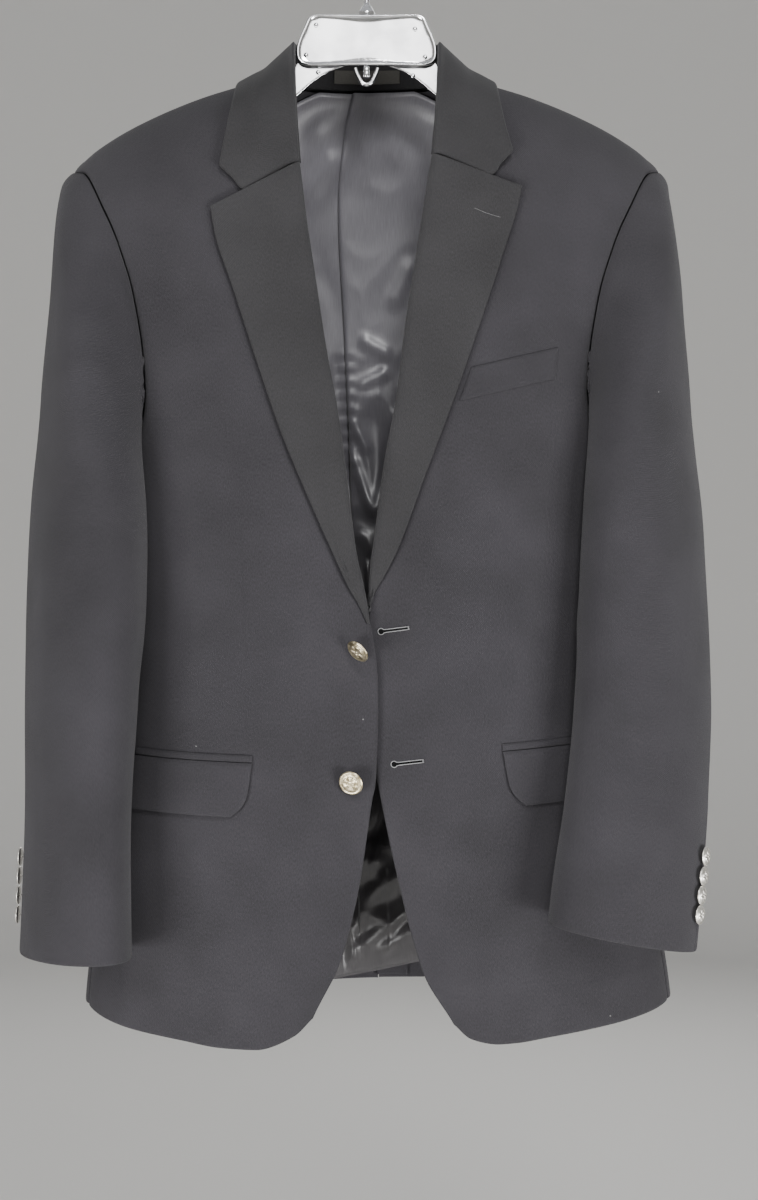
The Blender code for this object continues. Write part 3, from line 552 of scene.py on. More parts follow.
# %% Edges of the fronts
EDGE = {  # side: front edge from its lower corner up to the neck; out, height
    -1: ((52, -893), (28, -845), (10, -772), (-2.5, -696), (-5, -625), (-2, -590), (1.5, -573), (9, -540),
         (20, -465), (37, -359), (52, -252), (57.5, -208), (63, -165), (74.5, -121)),
    1: ((60, -898), (37, -859), (21, -799), (7, -728), (2, -696), (-1, -640), (-4, -595), (-3, -568),
        (13, -488), (31.5, -383), (46, -272), (57, -202), (63, -165), (74.5, -121))}
HEM = {
    -1: ((52, -893), (68, -908), (98, -919), (125, -918), (158, -913), (208, -905), (240.8, -893)),
    1: ((60, -898), (74, -910), (95, -914.5), (110, -913.6), (137, -909.5), (204, -899), (240.8, -889))}
BACK_HEM = {-1: (-907, -896.5), 1: (-895, -896)}     # height halfway and at the middle
DARTS = {-1: (-103, -455, -680), 1: (108, -452, -668)}      # out, top and bottom height


def recess(side, out, z):
    """The buttonhole side passes under the button side near the middle."""
    return RECESS * smooth((55 - out) / 45) * smooth((-300 - z) / 150) * (side > 0)


def front_grid(side, cols, rows):
    hem = np.array(HEM[side], float)
    hem = np.column_stack([to_round(hem[:, 0], hem[:, 1]), hem[:, 1]])
    hem[-1, 0] = FRONT_SEAM - SEAM_TURN
    edge = np.array(EDGE[side], float)
    edge = np.column_stack([to_round(edge[:, 0], edge[:, 1]), edge[:, 1]])
    outer = np.concatenate([[hem[-1]], [[hem[-1, 0], z] for z in (-800, -700, -600, -520)],
                            armhole(np.array([168, 158, 145, 128, 104, 82, 59, 38, 12, 0.0]))])
    x = np.linspace(NECK, SHOULDER_TIP, 12)
    seam = np.column_stack([to_round(x, through(x, SHOULDER)), through(x, SHOULDER) - 0.01])
    seam[0], seam[-1] = edge[-1], armhole(np.array([0.0]))[0]
    scale = np.array([3.0, 1.0])
    u, v = spread(cols, 0.55), spread(rows, 0.6)
    return patch(*[along(line * scale, t) / scale for line, t in ((hem, u), (seam, u), (edge, v), (outer, v))])


# %% The fronts


def on_front(side, out, z, off=0.0):
    """A front's outer face at a distance out and a height."""
    points = shell(to_round(out, z), z, off)
    points[..., 1] += recess(side, out, z)
    return points


for side in (-1, 1):
    round_, z = np.moveaxis(front_grid(side, 150, 210), -1, 0)
    out = np.sign(round_) * from_round(round_, z)
    where, top, low = DARTS[side]
    groove = 0.5 * np.exp(-((out - abs(where)) / 1.3) ** 2) * smooth((top - z) / 60) * smooth((z - low) / 12)
    hem_fold = 0.35 * smooth((edge_distance(body(round_, z), "b") - 36) / 3) - 0.35
    points = shell(round_, z, -groove - hem_fold)
    points[..., 1] += recess(side, out, z)
    points = turn_edges(place(points, side), side > 0, 0.3, 0.7)
    points = turn_edges(points, side > 0, 0.9, 2.4, "r")
    piece = show("cloth_front_" + WEARER[side], sheet_mesh("front", points, side > 0), WOOL,
                 "front_" + WEARER[side], CLOTH)

# %% The side panels
for side in (-1, 1):
    a = FRONT_SEAM + SEAM_TURN + (BACK_SEAM - FRONT_SEAM - 2 * SEAM_TURN) * spread(50, 0.5)
    top = armhole(np.interp(a, (76, 90, 104, 112), (168, 180, 200, 223)))
    low = np.interp(a, (FRONT_SEAM, BACK_SEAM), (HEM[side][-1][1], HEM[side][-1][1] - 3))
    z = low + (top[:, 1] - low) * spread(150, 0.5)[:, None]
    points = turn_edges(place(shell(a + 0 * z, z), side), side > 0, 0.5, 1.2)
    piece = show("cloth_side_" + WEARER[side], sheet_mesh("side", points, side > 0), WOOL,
                 "side_" + WEARER[side], CLOTH)

# %% The backs and the vent
VENT_TOP = -672


def back_grid(side, cols, rows):
    hem_z = np.array([HEM[side][-1][1] - 3, *BACK_HEM[side]])
    seam_at, middle = BACK_SEAM + SEAM_TURN, 180 - to_round(np.array(0.35), np.array(-680.0))
    hem = np.column_stack([[seam_at, (seam_at + middle) / 2, middle], hem_z])
    x = np.concatenate([np.linspace(SHOULDER_TIP, NECK, 9), [60, 34, 0.35]])
    z = np.concatenate([through(x[:9], SHOULDER) - 0.01, [-120.2, -120, -120]])
    seam = np.column_stack([180 - to_round(x, z), z])
    seam[-1, 0], seam[0] = middle, armhole(np.array([360.0]))[0]
    outer = np.concatenate([[hem[0]], [[seam_at, z] for z in (-800, -700, -600, -500)], [[seam_at, -405]],
                            armhole(np.array([236, 250, 279, 309, 338, 360.0]))])
    centre = np.array([[middle, z] for z in (hem_z[-1], -700, -500, -300, -120)])
    scale = np.array([3.0, 1.0])
    u, v = spread(cols, 0.6), spread(rows, 0.6)
    u = 1 - (1 - u) ** 1.25
    return patch(*[along(line * scale, t) / scale for line, t in ((hem, u), (seam, u), (outer, v), (centre, v))])


for side in (-1, 1):
    round_, z = np.moveaxis(back_grid(side, 120, 190), -1, 0)
    hem_fold = 0.35 * smooth((edge_distance(body(round_, z), "b") - 36) / 3) - 0.35
    points = turn_edges(place(shell(round_, z, -hem_fold), side), side > 0, 0.5, 1.2)
    piece = show("cloth_back_" + WEARER[side], sheet_mesh("back", points, side > 0), WOOL,
                 "back_" + WEARER[side], CLOTH)
out, z = np.meshgrid(np.linspace(26, -1, 28), np.linspace(-893, VENT_TOP, 120))
points = turn_edges(place(shell(180 - to_round(out, z), z, -CLOTH - 0.8), 1), True, 0.5, 1.5)
piece = show("cloth_vent_underlap", sheet_mesh("vent", points, True), WOOL, "vent_underlap", CLOTH)

# %% Seam allowances, pressed flat behind the side seams
ALLOWANCE = 3.5         # each way from the seam, degrees round the body: about 6 mm
for side in (-1, 1):
    for panel, at in (("front", FRONT_SEAM), ("back", BACK_SEAM)):
        height = np.linspace(HEM[side][-1][1] + 1, -440, 120)
        a, z = np.meshgrid(np.linspace(at - ALLOWANCE, at + ALLOWANCE, 14), height)
        points = place(shell(a, z, -CLOTH - 0.5), side)
        piece = show(f"cloth_{panel}_seam_allowance_{WEARER[side]}", sheet_mesh("allowance", points, side > 0),
                     WOOL, wall=0.6)

# %% [markdown]
# ## Sleeves
#
# A tailored sleeve is cut in two pieces, the top sleeve and the narrower under sleeve. It leaves the
# armhole, is eased over the shoulder and hangs forward a little. Each level is an ellipse that moves
# forward and turns from the armhole to the cuff. A row of puckers follows the armhole seam, and
# shallow folds lie at the elbow.

# %% The sleeve's tube
SLEEVE = {  # side: height, centre out, centre back, half length, half width, turn of the flat tube
    -1: ((-199, 214, 0, 64, 41, 0), (-225, 217, -2, 74, 42, 2), (-308, 221.5, -8, 80, 42, 5),
         (-393, 227.8, -18, 80, 42, 10), (-477, 230.2, -30, 78, 44.5, 23), (-560, 233, -42, 72, 43.5, 31),
         (-641, 236.8, -52, 67, 40, 34), (-722, 239.6, -60, 63, 37, 35), (-769, 240.5, -66, 62, 36, 37),
         (-833, 241.5, -72, 62, 36, 40), (-862, 242, -75, 62, 36, 42)),
    1: ((-199, 214, 0, 64, 39, 0), (-225, 215.5, -2, 74, 39.5, 2), (-308, 222, -8, 80, 42, 7),
        (-393, 226.5, -17, 80, 42, 17), (-477, 226.4, -29, 78, 44.5, 27), (-560, 223.6, -42, 72, 43.5, 39),
        (-642, 219, -60, 67, 40, 53), (-722, 209.6, -80, 63, 37, 66), (-770, 201, -92, 62, 35.5, 73),
        (-834, 191.5, -100, 62, 35, 76), (-862, 187.5, -102, 62, 35, 77))}
CUFF = {-1: (-843, 0.03), 1: (-823.5, 0.2)}
SLEEVE_LAG = ((0, 6), (60, 26), (100, 50), (180, 40), (250, 50), (300, 26), (360, 6))
SLEEVE_OFF, SLEEVE_HEAD, ARM_CLEAR = 0.35, 0.3, 4.5


def gauge(x, y, z, margin):
    """Below 1 inside the form's outline at height z, above 1 outside it."""
    depth = np.where(y < 0, through(z, BODY, 2), through(z, BODY, 3)) + margin
    wide = (np.abs(x) / (half_width(z) + margin)) ** SIDE_POWER
    return (wide + (np.abs(y) / depth) ** SIDE_POWER) ** (1 / SIDE_POWER)


def clear_of_body(p, margin):
    """Moves points out of the form's outline along the gauge's slope, in a few Newton steps."""
    x, y, z = p[..., 0].copy(), p[..., 1].copy(), p[..., 2]
    for _ in range(6):
        g = gauge(x, y, z, margin)
        gx = (gauge(x + 0.1, y, z, margin) - g) / 0.1
        gy = (gauge(x, y + 0.1, z, margin) - g) / 0.1
        step = np.clip(1 - g, 0, None) / np.maximum(gx**2 + gy**2, 1e-9)
        x, y = x + step * gx, y + step * gy
    return np.stack([x, y, z], -1)


def sleeve_tube(side, theta, z):
    """An ellipse at height z, turned about its centre."""
    c, y, a, b, turn = (through(z, SLEEVE[side], k) for k in range(1, 6))
    t, th = np.radians(turn), np.radians(theta)
    u, v = b * np.cos(th), a * np.sin(th)
    return np.stack([c + u * np.cos(t) - v * np.sin(t), y - u * np.sin(t) - v * np.cos(t), z + 0 * th], -1)


def sleeve_point(side, theta, v):
    """From the armhole (v = 0) to the cuff (v = 1): the armhole's ring settles into the hanging tube."""
    ring = armhole(np.mod(theta, 360.0001))
    start = body(ring[..., 0], ring[..., 1])
    start[..., 0] += SLEEVE_OFF + SLEEVE_HEAD * smooth(np.cos(np.radians(theta)) * 3 - 1.5)
    mid = sleeve_tube(side, theta, CUFF[side][0] + 0 * theta)
    end = CUFF[side][0] - CUFF[side][1] * (mid[..., 0] - SLEEVE[side][-2][1])
    z = start[..., 2] + (end - start[..., 2]) * v
    fall = 1 - np.exp(-(start[..., 2] - z) / through(np.mod(theta, 360.0001), SLEEVE_LAG))
    point = start + (sleeve_tube(side, theta, z) - start) * fall[..., None]
    point[..., 2] = z
    free = clear_of_body(point, SLEEVE_OFF + ARM_CLEAR * smooth((-345 - z) / 110))
    return point + (free - point) * smooth((-290 - z) / 40)[..., None]


# %% Folds on the sleeves


def sleeve_folds(points, theta, v):
    """Long soft waves, shallow slanting folds at the elbow and slight puckers below the armhole seam."""
    waves = 0.9 * cloud(points, (45, 45, 190), 21) + 0.4 * cloud(points, (24, 24, 80), 5)
    slant = np.sin(points[..., 2] / 17.0 + np.radians(theta) * 1.6 + 2 * cloud(points, (60, 60, 60), 9))
    elbow = 0.55 * slant * np.exp(-((v - 0.47) / 0.1) ** 2) * smooth(0.5 + 0.5 * np.sin(np.radians(theta)))
    pucker = 0.35 * np.sin(theta * 1.05) * np.exp(-((v - 0.018) / 0.014) ** 2)
    rope = 0.9 * np.exp(-((v - 0.012) / 0.012) ** 2) * smooth(np.cos(np.radians(theta)) + 0.8)
    return (waves * smooth(v / 0.2) + elbow + pucker + rope)


for side in (-1, 1):
    for name, first, last, cols, cut in (
            ("top_sleeve_", TOP_SEAM_BACK - 360, TOP_SEAM_FRONT, 120, (0.25, 0.66, 0.131)),
            ("under_sleeve_", TOP_SEAM_FRONT, TOP_SEAM_BACK, 80, (0.17, 0.48, 0.068))):
        u, v = np.meshgrid(spread(cols, 0.6), spread(210, 0.5) ** 1.08)
        gap = 0.2 + 0.1 * (1 - smooth(v / 0.12))
        theta = first + gap + (last - first - 2 * gap) * u
        points = place(sleeve_point(side, theta, v), side)
        points = points + facing(points, side > 0) * sleeve_folds(points, theta, v)[..., None]
        points = turn_edges(points, side > 0, 0.5, 1.2)
        piece = show("cloth_" + name + WEARER[side], sheet_mesh("sleeve", points, side > 0), WOOL,
                     name + WEARER[side], CLOTH)

# %% [markdown]
# ## Lapels and collar
#
# A lapel is the top of the front edge, folded back along its roll line and pressed. Across it, the
# cloth rises out of the opening, rolls over and lies down on the chest. The collar does the same
# round the neck: it stands up, folds and falls. The notch is the gap between their two corners.

# %% The lapels
LAPEL_ROWS = {  # side: fold (out, height) and outer edge (out, height), from the break up
    -1: ((0.8, -579, 3.5, -577), (3, -565, 9, -564), (8, -548, 17, -549), (13, -529, 27, -526),
         (20, -465, 47.4, -477),
         (27.5, -406, 68.3, -425), (36, -359, 86.6, -371), (45, -300, 105.2, -313.5),
         (52.2, -252, 121, -266), (57, -210.8, 124.8, -243.8)),
    1: ((-3, -570, -1.6, -568.5), (0.4, -555, 5, -553), (3.5, -540, 12, -541), (7.8, -518, 23, -520),
        (18, -452, 45.6, -462.5),
        (29, -394, 71.8, -394.4), (36, -338, 91.4, -337.8), (45, -280, 110, -281),
        (53.5, -225, 121, -246), (57, -203.8, 124.8, -227.8))}
ROLL = (  # past the lapel's fold, off the front
    (-2.9, -1.2), (-4.4, 0.9), (-3.9, 3.5), (-1.0, 5.3), (4.0, 5.9), (9.5, 5.8))
LAPEL_OFF = (  # from the roll to the edge, off the front
    (0.35, 5.3), (0.7, 4.9), (1.0, 4.9))
GORGE_TURN = 26.0       # over this much of its top the roll swings round to the gorge seam
BREAK_LENGTH = 48.0     # over this much of its foot the roll grows from nothing


def lapel_grid(side, rows, cols):
    """Across the fold the columns are square to it, and near the top they follow the gorge seam."""
    table = along(LAPEL_ROWS[side], spread(rows, 0.5))
    fold, edge = table[:, :2], table[:, 2:]
    ahead = unit(np.gradient(fold, axis=0))
    square = np.stack([ahead[:, 1], -ahead[:, 0]], -1)
    to_top = np.linalg.norm(fold - fold[-1], axis=1)
    swing = (1 - smooth(to_top / GORGE_TURN))[:, None]
    square = unit(square * (1 - swing) + unit(edge[-1] - fold[-1]) * swing)
    full = smooth(np.linalg.norm(fold - fold[0], axis=1) / BREAK_LENGTH)[:, None]
    most = 0.5 * np.linalg.norm(edge - fold, axis=1)[:, None] / ROLL[-1][0]
    flat = [fold + square * s * (np.minimum(0.12 + 0.88 * full, most) if s > 0 else 0.12 + 0.88 * full)
            for s, _ in ROLL]
    flat = np.stack(flat + [flat[-1] + (edge - flat[-1]) * f for f, _ in LAPEL_OFF], 1)
    lift = np.array([n for _, n in ROLL + LAPEL_OFF]) * (0.3 + 0.7 * full) + 0.5 * (1 - full)
    return place(across(on_front(side, flat[..., 0], flat[..., 1], lift), cols, 0.35), side)


for side in (-1, 1):
    points = turn_edges(lapel_grid(side, 170, 90), side > 0, 0.5, 0.8, "r")
    piece = show("cloth_lapel_" + WEARER[side], sheet_mesh("lapel", points, side > 0), LAPEL_WOOL,
                 "lapel_" + WEARER[side], LAPEL)

# %% The collar
COLLAR_END = {
    -1: (0.0, 54.1, -65.8, -209.2, 52.6, -70.4, -209.2, 97.5, -71.0, -229.7, 118.0, -70.0, -210.5, 0, -1, 0),
    1: (0.0, 54.1, -65.6, -202.4, 52.6, -70.2, -202.4, 99.7, -70.8, -218.2, 118.0, -69.5, -198.6, 0, -1, 0)}
COLLAR = (  # round the neck, then seam, fold, middle and edge of the fall, each as x, y, z; up x, y, z
    (0.3, 59.6, -58.4, -167, 55.4, -64.3, -168, 84.0, -67.5, -187.0, 112.0, -60.0, -172, 0, -.85, .5),
    (0.6, 69.0, -35.5, -131, 58.2, -37.0, -116, 86.0, -51.0, -143.0, 109.0, -47.5, -150, 0, -.5, .85),
    (1.0, 73.0, 0.0, -117.5, 59.5, 0.0, -91, 84.0, 0.0, -111.5, 107.5, 0.0, -124.4, 0, 0, 1),
    (1.6, 46.0, 36.5, -117.5, 43.0, 31.0, -88, 57.0, 40.5, -111.0, 69.0, 47.0, -132, 0, -.1, 1),
    (2.2, 0.0, 45.2, -117.5, 0.0, 40.0, -86, 0.0, 52.0, -112.0, 0.0, 62.0, -136, 0, -.15, 1))


def collar_section(side, t):
    """The collar's columns at t round the neck: seam, stand, fold and fall, down to its edge."""
    table = [COLLAR_END[side]] + list(COLLAR)
    seam, fold, middle, edge, up = (np.stack([through(t, table, 3 * k + c) for c in (1, 2, 3)], -1)
                                    for k in range(5))
    up = unit(up)
    out = edge - fold
    out = unit(out - up * (out * up).sum(-1, keepdims=True))
    lean = (1.5 - 3.2 * smooth(t / 0.6))[:, None]
    stand = np.linalg.norm(fold - seam, axis=-1, keepdims=True)
    roll = [fold - up * np.minimum(2.5, stand * 0.3), fold + out * 1.8 + up * 1.6, fold + out * 5.6 + up * lean]
    fall = [roll[-1] + (middle - roll[-1]) * f for f in (0.4, 0.75, 1)]
    return [seam, seam + (fold - seam) * 0.5, *roll, *fall, middle + (edge - middle) * 0.5, edge]


t = 2.2 * (1 - (1 - np.linspace(0, 1, 90)) ** 1.15)
halves = [across(np.stack(collar_section(side, t), 1), 64, 0.3) * np.array([side, 1, 1]) for side in (1, -1)]
points = turn_edges(np.concatenate([halves[0], halves[1][-2::-1]]), True, 0.5, 0.8, "r")
piece = show("cloth_collar", sheet_mesh("collar", points, True), LAPEL_WOOL, "collar", LAPEL)

# %% [markdown]
# ## Pockets
#
# The hip pockets have a jet, a narrow folded strip, above a flap with a rounded front corner. The
# chest pocket has a welt, a strip turned up and sewn down. Each lies on the cloth and follows its
# form, so it is placed by the same degrees and heights.

# %% Pocket pieces
JET = {-1: (96, -684.2, 193, -679.7), 1: (103.5, -675.0, 193, -665.6)}
JET_HEIGHT, FLAP_HEIGHT = 6.0, 43.0
FLAP_CORNER = ((0, 0), (27, 0.8), (35, 1.8), (43, 4.4))
WELT = ((84.5, -373.6, 154.4, -356.5), (74.5, -401.0, 152.6, -381.8))
for side in (-1, 1):
    x0, z0, x1, z1 = JET[side]
    first, last = (float(to_round(np.array(x), np.array(-680.0))) for x in (x0, x1))
    u = spread(80, 0.6)[None]
    top = z0 + (z1 - z0) * u
    down = JET_HEIGHT * spread(14, 0.5)[::-1, None]
    points = shell(first + (last - first) * u + 0 * down, top - down, 1.5 + 0.4 * np.sin(np.pi * down / JET_HEIGHT) + 0 * u)
    points = turn_edges(place(points, side), side > 0, 0.7, 1.0)
    piece = show("cloth_jet_" + WEARER[side], sheet_mesh("jet", points, side > 0), WOOL, "jet_" + WEARER[side], 1.3)
    down = FLAP_HEIGHT * spread(56, 0.6)[::-1, None]
    start = first + through(down, FLAP_CORNER)
    off = 2.2 + 0.5 * np.exp(-((down - 5) / 4) ** 2) + 2.0 * smooth(down / FLAP_HEIGHT) + 0 * u
    points = shell(start + (last - start) * u, top - JET_HEIGHT - 0.3 - down, off)
    points = turn_edges(place(points, side), side > 0, 0.7, 1.4)
    piece = show("cloth_flap_" + WEARER[side], sheet_mesh("flap", points, side > 0), WOOL, "flap_" + WEARER[side], 1.9)
(xa, za, xb, zb), (xc, zc, xd, zd) = WELT
u, v = spread(60, 0.6)[None], spread(24, 0.6)[:, None]
out = (xc + (xd - xc) * u) * (1 - v) + (xa + (xb - xa) * u) * v
z = (zc + (zd - zc) * u) * (1 - v) + (za + (zb - za) * u) * v
points = turn_edges(place(shell(to_round(out, z), z, 1.6 + 0 * z), 1), True, 0.9, 1.4)
piece = show("cloth_chest_welt", sheet_mesh("welt", points, True), WOOL, "chest_welt", 1.5)

# %% [markdown]
# ## Back lining
#
# The lining is a loose satin sheet behind the back, with a pleat down its middle so that it doesn't
# strain when the wearer reaches. The pleat is a Z in the cloth: it runs past the fold, turns back
# under itself and turns again. Satin shows every dent, so soft noise and a few placed folds bend it.

# %% The satin
PLEAT_EDGE = (  # height, out: the pleat's edge wanders from the neck down
    (-118, -12), (-159, -21), (-212, -25), (-330, -22), (-412, -19.5), (-600, -17), (-884, -16.5))
Z_FOLD = (  # across from the pleat's edge, forward from the lower layer
    (-158, 0), (-60, 0), (-10, 0.1), (6, 0.3), (11, 0.6), (12.4, 1.1), (11, 1.7), (6, 1.9), (0.8, 2.0),
    (-0.6, 2.7), (0.8, 3.5), (5, 3.9), (16, 3.9), (60, 2.2), (110, 0.6), (190, 0))
CREASES = (  # across and height of both ends, width, height of the fold
    (-18, -402, 1, -429, 4, 2.2), (-18, -429, 4, -486, 5, 3.4), (34, -395, 8, -486, 6, 3.6),
    (-2, -529, 0, -565, 3, 3.0), (-14, -500, 10, -520, 7, 2.6), (-18, -868, 28, -832, 5, 2.6),
    (-26, -852, 12, -800, 6, 2.4), (2, -872, 30, -850, 4, 2.0), (-40, -780, -8, -720, 8, 2.2),
    (18, -160, 46, -178, 10, 1.7), (46, -178, 52, -215, 11, 1.6), (-50, -150, -24, -128, 8, 1.6),
    (-58, -205, -22, -168, 13, 4.2), (40, -262, 24, -300, 8, 2.2), (-6, -330, 22, -345, 6, 2.4), (-8, -372, 20, -358, 5, 2.2))


def crease(x, z, x0, z0, x1, z1, wide, high):
    """A fold along a line: a bell curve of the distance to it, fading at its ends."""
    length = np.hypot(x1 - x0, z1 - z0)
    s = ((x - x0) * (x1 - x0) + (z - z0) * (z1 - z0)) / length
    d = ((x - x0) * (z1 - z0) - (z - z0) * (x1 - x0)) / length
    ends = smooth((s + wide) / (2 * wide)) * smooth((length + wide - s) / (2 * wide))
    return high * np.exp(-(d / wide) ** 2) * ends


def satin_waves(x, z):
    """Warped noise: its ridges are sharp where the noise crosses zero, as in crumpled satin."""
    p = np.stack([x, 0 * x, z], -1)
    warp = np.stack([cloud(p, (60, 1, 80), 31), 0 * x, cloud(p, (50, 1, 70), 32)], -1) * 22
    ridge = 1 - np.abs(cloud(p + warp, (34, 1, 58), 33)) * 2
    soft = cloud(p + warp, (60, 1, 90), 34)
    fine = 1 - np.abs(cloud(p + warp, (17, 1, 26), 35)) * 2
    low = smooth((-300 - z) / 150)
    deep = smooth((-640 - z) / 100)
    return (0.7 + 2.6 * low + 1.5 * deep) * ridge + (2.6 + 2.5 * deep) * soft + (0.2 + 1.3 * low + 0.5 * deep) * fine


path = along(Z_FOLD, spread(190, 0.0))
half_fold = path[:, 0]
v = np.linspace(0, 1, 230)[:, None]
level = -888.5 + 770.5 * v
x = half_fold[None] + through(level, PLEAT_EDGE)
x = np.clip(x, -172, 172) + 0.001 * half_fold
hem_z = -888.5 + 0.2 * np.clip(x, -60, 60)
top = np.minimum(-118.5, through(np.abs(x), SHOULDER) - 14)
z = hem_z + (top - hem_z) * v
wide = 1 + (half_width(z) / 250 - 1) * smooth((-200 - z) / 100)
round_ = 180 - to_round(x * wide, z)
drop, tuck = top - z, smooth((-780 - z) / 90)
inward = 3.4 + 3.0 * smooth(drop / 60) - (3.4 - 2.9 * np.exp(-(x / 45) ** 2)) * tuck
free = smooth(drop / 30) * smooth((z - hem_z) / 25)
pucker = 0.9 * np.sin(z / 1.9) * np.exp(-((x - through(z, PLEAT_EDGE)) / 9) ** 2) * smooth((-330 - z) / 30) * smooth((z + 470) / 40)
waves = satin_waves(x, z) + pucker + sum(crease(x, z, *row) for row in CREASES)
points = body(round_, z) - body_normal(round_, z) * inward[..., None]
points[..., 1] -= path[None, :, 1] * smooth((z - hem_z) / 160) + 3.2 * free + waves * free
piece = show("satin_back_lining", sheet_mesh("lining", place(points, 1), False), SATIN_PAINTED_SHADE, "back_lining", LINING)

# %% The neck label
t, up = 2.2 - np.linspace(0.36, 0, 40), np.linspace(0.16, 0.52, 24)
seam, fold = (np.stack([through(t, COLLAR, k + c) for c in (1, 2, 3)], -1) for k in (0, 3))
half = seam + (fold - seam) * up[:, None, None]
grid = np.concatenate([half * np.array([-1, 1, 1]), half[:, -2::-1]], 1)
points = grid + unit(grid * np.array([-1, -1, 0])) * 1.2
piece = show("woven_neck_label", sheet_mesh("label", points, True), TAPE, "neck_label", 0.4)

# %% [markdown]
# ## Buttonholes
#
# A tailored buttonhole is a slit with a round eye at its end, edged with close stitches of thread.
# Each stitch is a short bar across the edge: the outline is a keyhole, and the tube's radius ripples
# along it as the stitches do.

# %% Keyholes
BUTTONHOLES = ((5.9, -585.6, 30.4, -582.4), (14.2, -691.8, 39.8, -688.6))   # eye and end, out and height


def keyhole(length, eye, slit, n):
    """The outline from the slit's end round the eye and back."""
    a = np.radians(np.linspace(35, 325, n))
    ring = np.column_stack([eye + eye * np.cos(a), eye * np.sin(a)])
    ends = np.array([[length, slit], [length * 0.66, slit], [length * 0.33, slit]])
    return np.concatenate([ends, ring, ends[::-1] * np.array([1, -1])])


for k, (x0, z0, x1, z1) in enumerate(BUTTONHOLES):
    length = np.hypot(x1 - x0, z1 - z0)
    way = np.array([x1 - x0, z1 - z0]) / length
    line = along(keyhole(length, 2.5, 1.15, 30), np.linspace(0, 1, 420))
    flat = np.array([x0, z0]) + line[:, :1] * way + line[:, 1:] * np.array([-way[1], way[0]])
    far = np.linspace(0, 1, len(line))
    points = on_front(1, flat[:, 0], flat[:, 1], 0.5 + 0 * far)
    stitches = tube(place(points, 1), 0.36 * (1 + 0.22 * np.sin(far * 2 * np.pi * 95)), 8)
    tack = np.array([x0, z0]) + np.column_stack([0 * far, 3.0 * far - 1.5]) @ np.array([way, [-way[1], way[0]]]) + way * length
    bar = tube(place(on_front(1, tack[:, 0], tack[:, 1], 0.55 + 0 * far), 1), 0.6 * (1 + 0.2 * np.sin(far * 60)), 8)
    show(f"buttonhole_stitches_{k + 1}", join([stitches, bar]), THREAD)
    # The slit is a near-black sheet lying on the cloth: painted shade standing in for the dark gap of the cut opening.
    u, s = np.meshgrid(np.linspace(0.02, 0.97, 60), np.linspace(-1, 1, 7))
    half = 0.95 + 1.2 * np.exp(-((u * length - 2.5) / 1.8) ** 2)
    x, y = u * length, s * half
    slit = on_front(1, x0 + x * way[0] - y * way[1], z0 + x * way[1] + y * way[0], 0.5 + 0 * x)
    show(f"buttonhole_slit_shade_{k + 1}", sheet_mesh("slit", place(slit, 1), True), DARK_THREAD_AND_SLIT_SHADE, wall=0.1)

# %% The lapel's buttonhole
far = np.linspace(0, 1, 300)
flat = along(((86.8, -246.6), (97, -250.6), (107.4, -253.6)), far)
points = on_front(1, flat[:, 0], flat[:, 1], 5.15 + 0 * far)
stitch = 0.03 + 0.17 * smooth(np.sin(far * 150) + 0.2)
show("lapel_buttonhole", tube(place(points, 1), stitch, 8), THREAD)

# %% [markdown]
# ## Buttons
#
# The buttons are stamped metal domes on wire shanks. The face is a lathe shape with a relief: a
# beaded rim and a plain rosette of petals, worked out from the radius and the angle. One front
# button has tipped over on its thread, as loose shank buttons do.

# %% Front buttons
FRONT_BUTTONS = {"upper": (10.6, -600.8, 56), "lower": (18.1, -705.4, 26)}
SHANK = 2.6
DROOP = (-0.72, 0, -0.69)    # the way that a loose button tips
CUFF_BUTTONS = {-1: (-770.5, -785.7, -801.3, -816.7), 1: (-761.6, -776.6, -791.0, -805.8)}
CUFF_TURN, CUFF_LIFT = 7, 0.35


def stamped(rim):
    """Beads round the rim, a ring inside them and six petals with a raised heart."""
    def relief(r, a):
        s = r / rim
        beads = 0.3 * np.exp(-((s - 0.9) / 0.05) ** 2) * (0.75 + 0.25 * np.cos(a * 36))
        ring = -0.3 * np.exp(-((s - 0.78) / 0.04) ** 2)
        petal = 0.6 * smooth((0.66 - s) / 0.1) * smooth((s - 0.16) / 0.1) * np.abs(np.cos(a * 3)) ** 0.7
        heart = 0.6 * np.exp(-(s / 0.1) ** 2)
        front = smooth((0.98 - s) / 0.04)
        return (beads + ring + petal + heart) * front
    return relief


def button(at, axis, rim, dome, back):
    """The dome's profile from the middle of its face to its flat back, and a wire shank behind it."""
    s = np.linspace(0, 1, 40)
    face = np.column_stack([rim * s, back + dome * (1 - s**2) ** 0.5 * 0.7 + dome * 0.3 * (1 - s**6)])
    rows = np.concatenate([face, [[rim * 1.0, back - 0.3], [rim * 0.93, back - 0.8], [0.0, back - 0.8]]])
    shape = turned(rows, at, axis, 96, lambda r, a: stamped(rim)(r, a) * (np.arange(len(rows)) < 40)[:, None])
    axis = unit(np.asarray(axis, float))
    right = unit(np.cross(axis, [0.3, 0.2, 1.0]))
    bend = np.linspace(0, np.pi, 24)
    loop = (np.asarray(at, float) + right * (1.7 * np.cos(bend))[:, None] + axis * (back - 1.2 - (back - 2.0) * np.sin(bend))[:, None])
    return join([shape, tube(loop, 0.45, 10)])


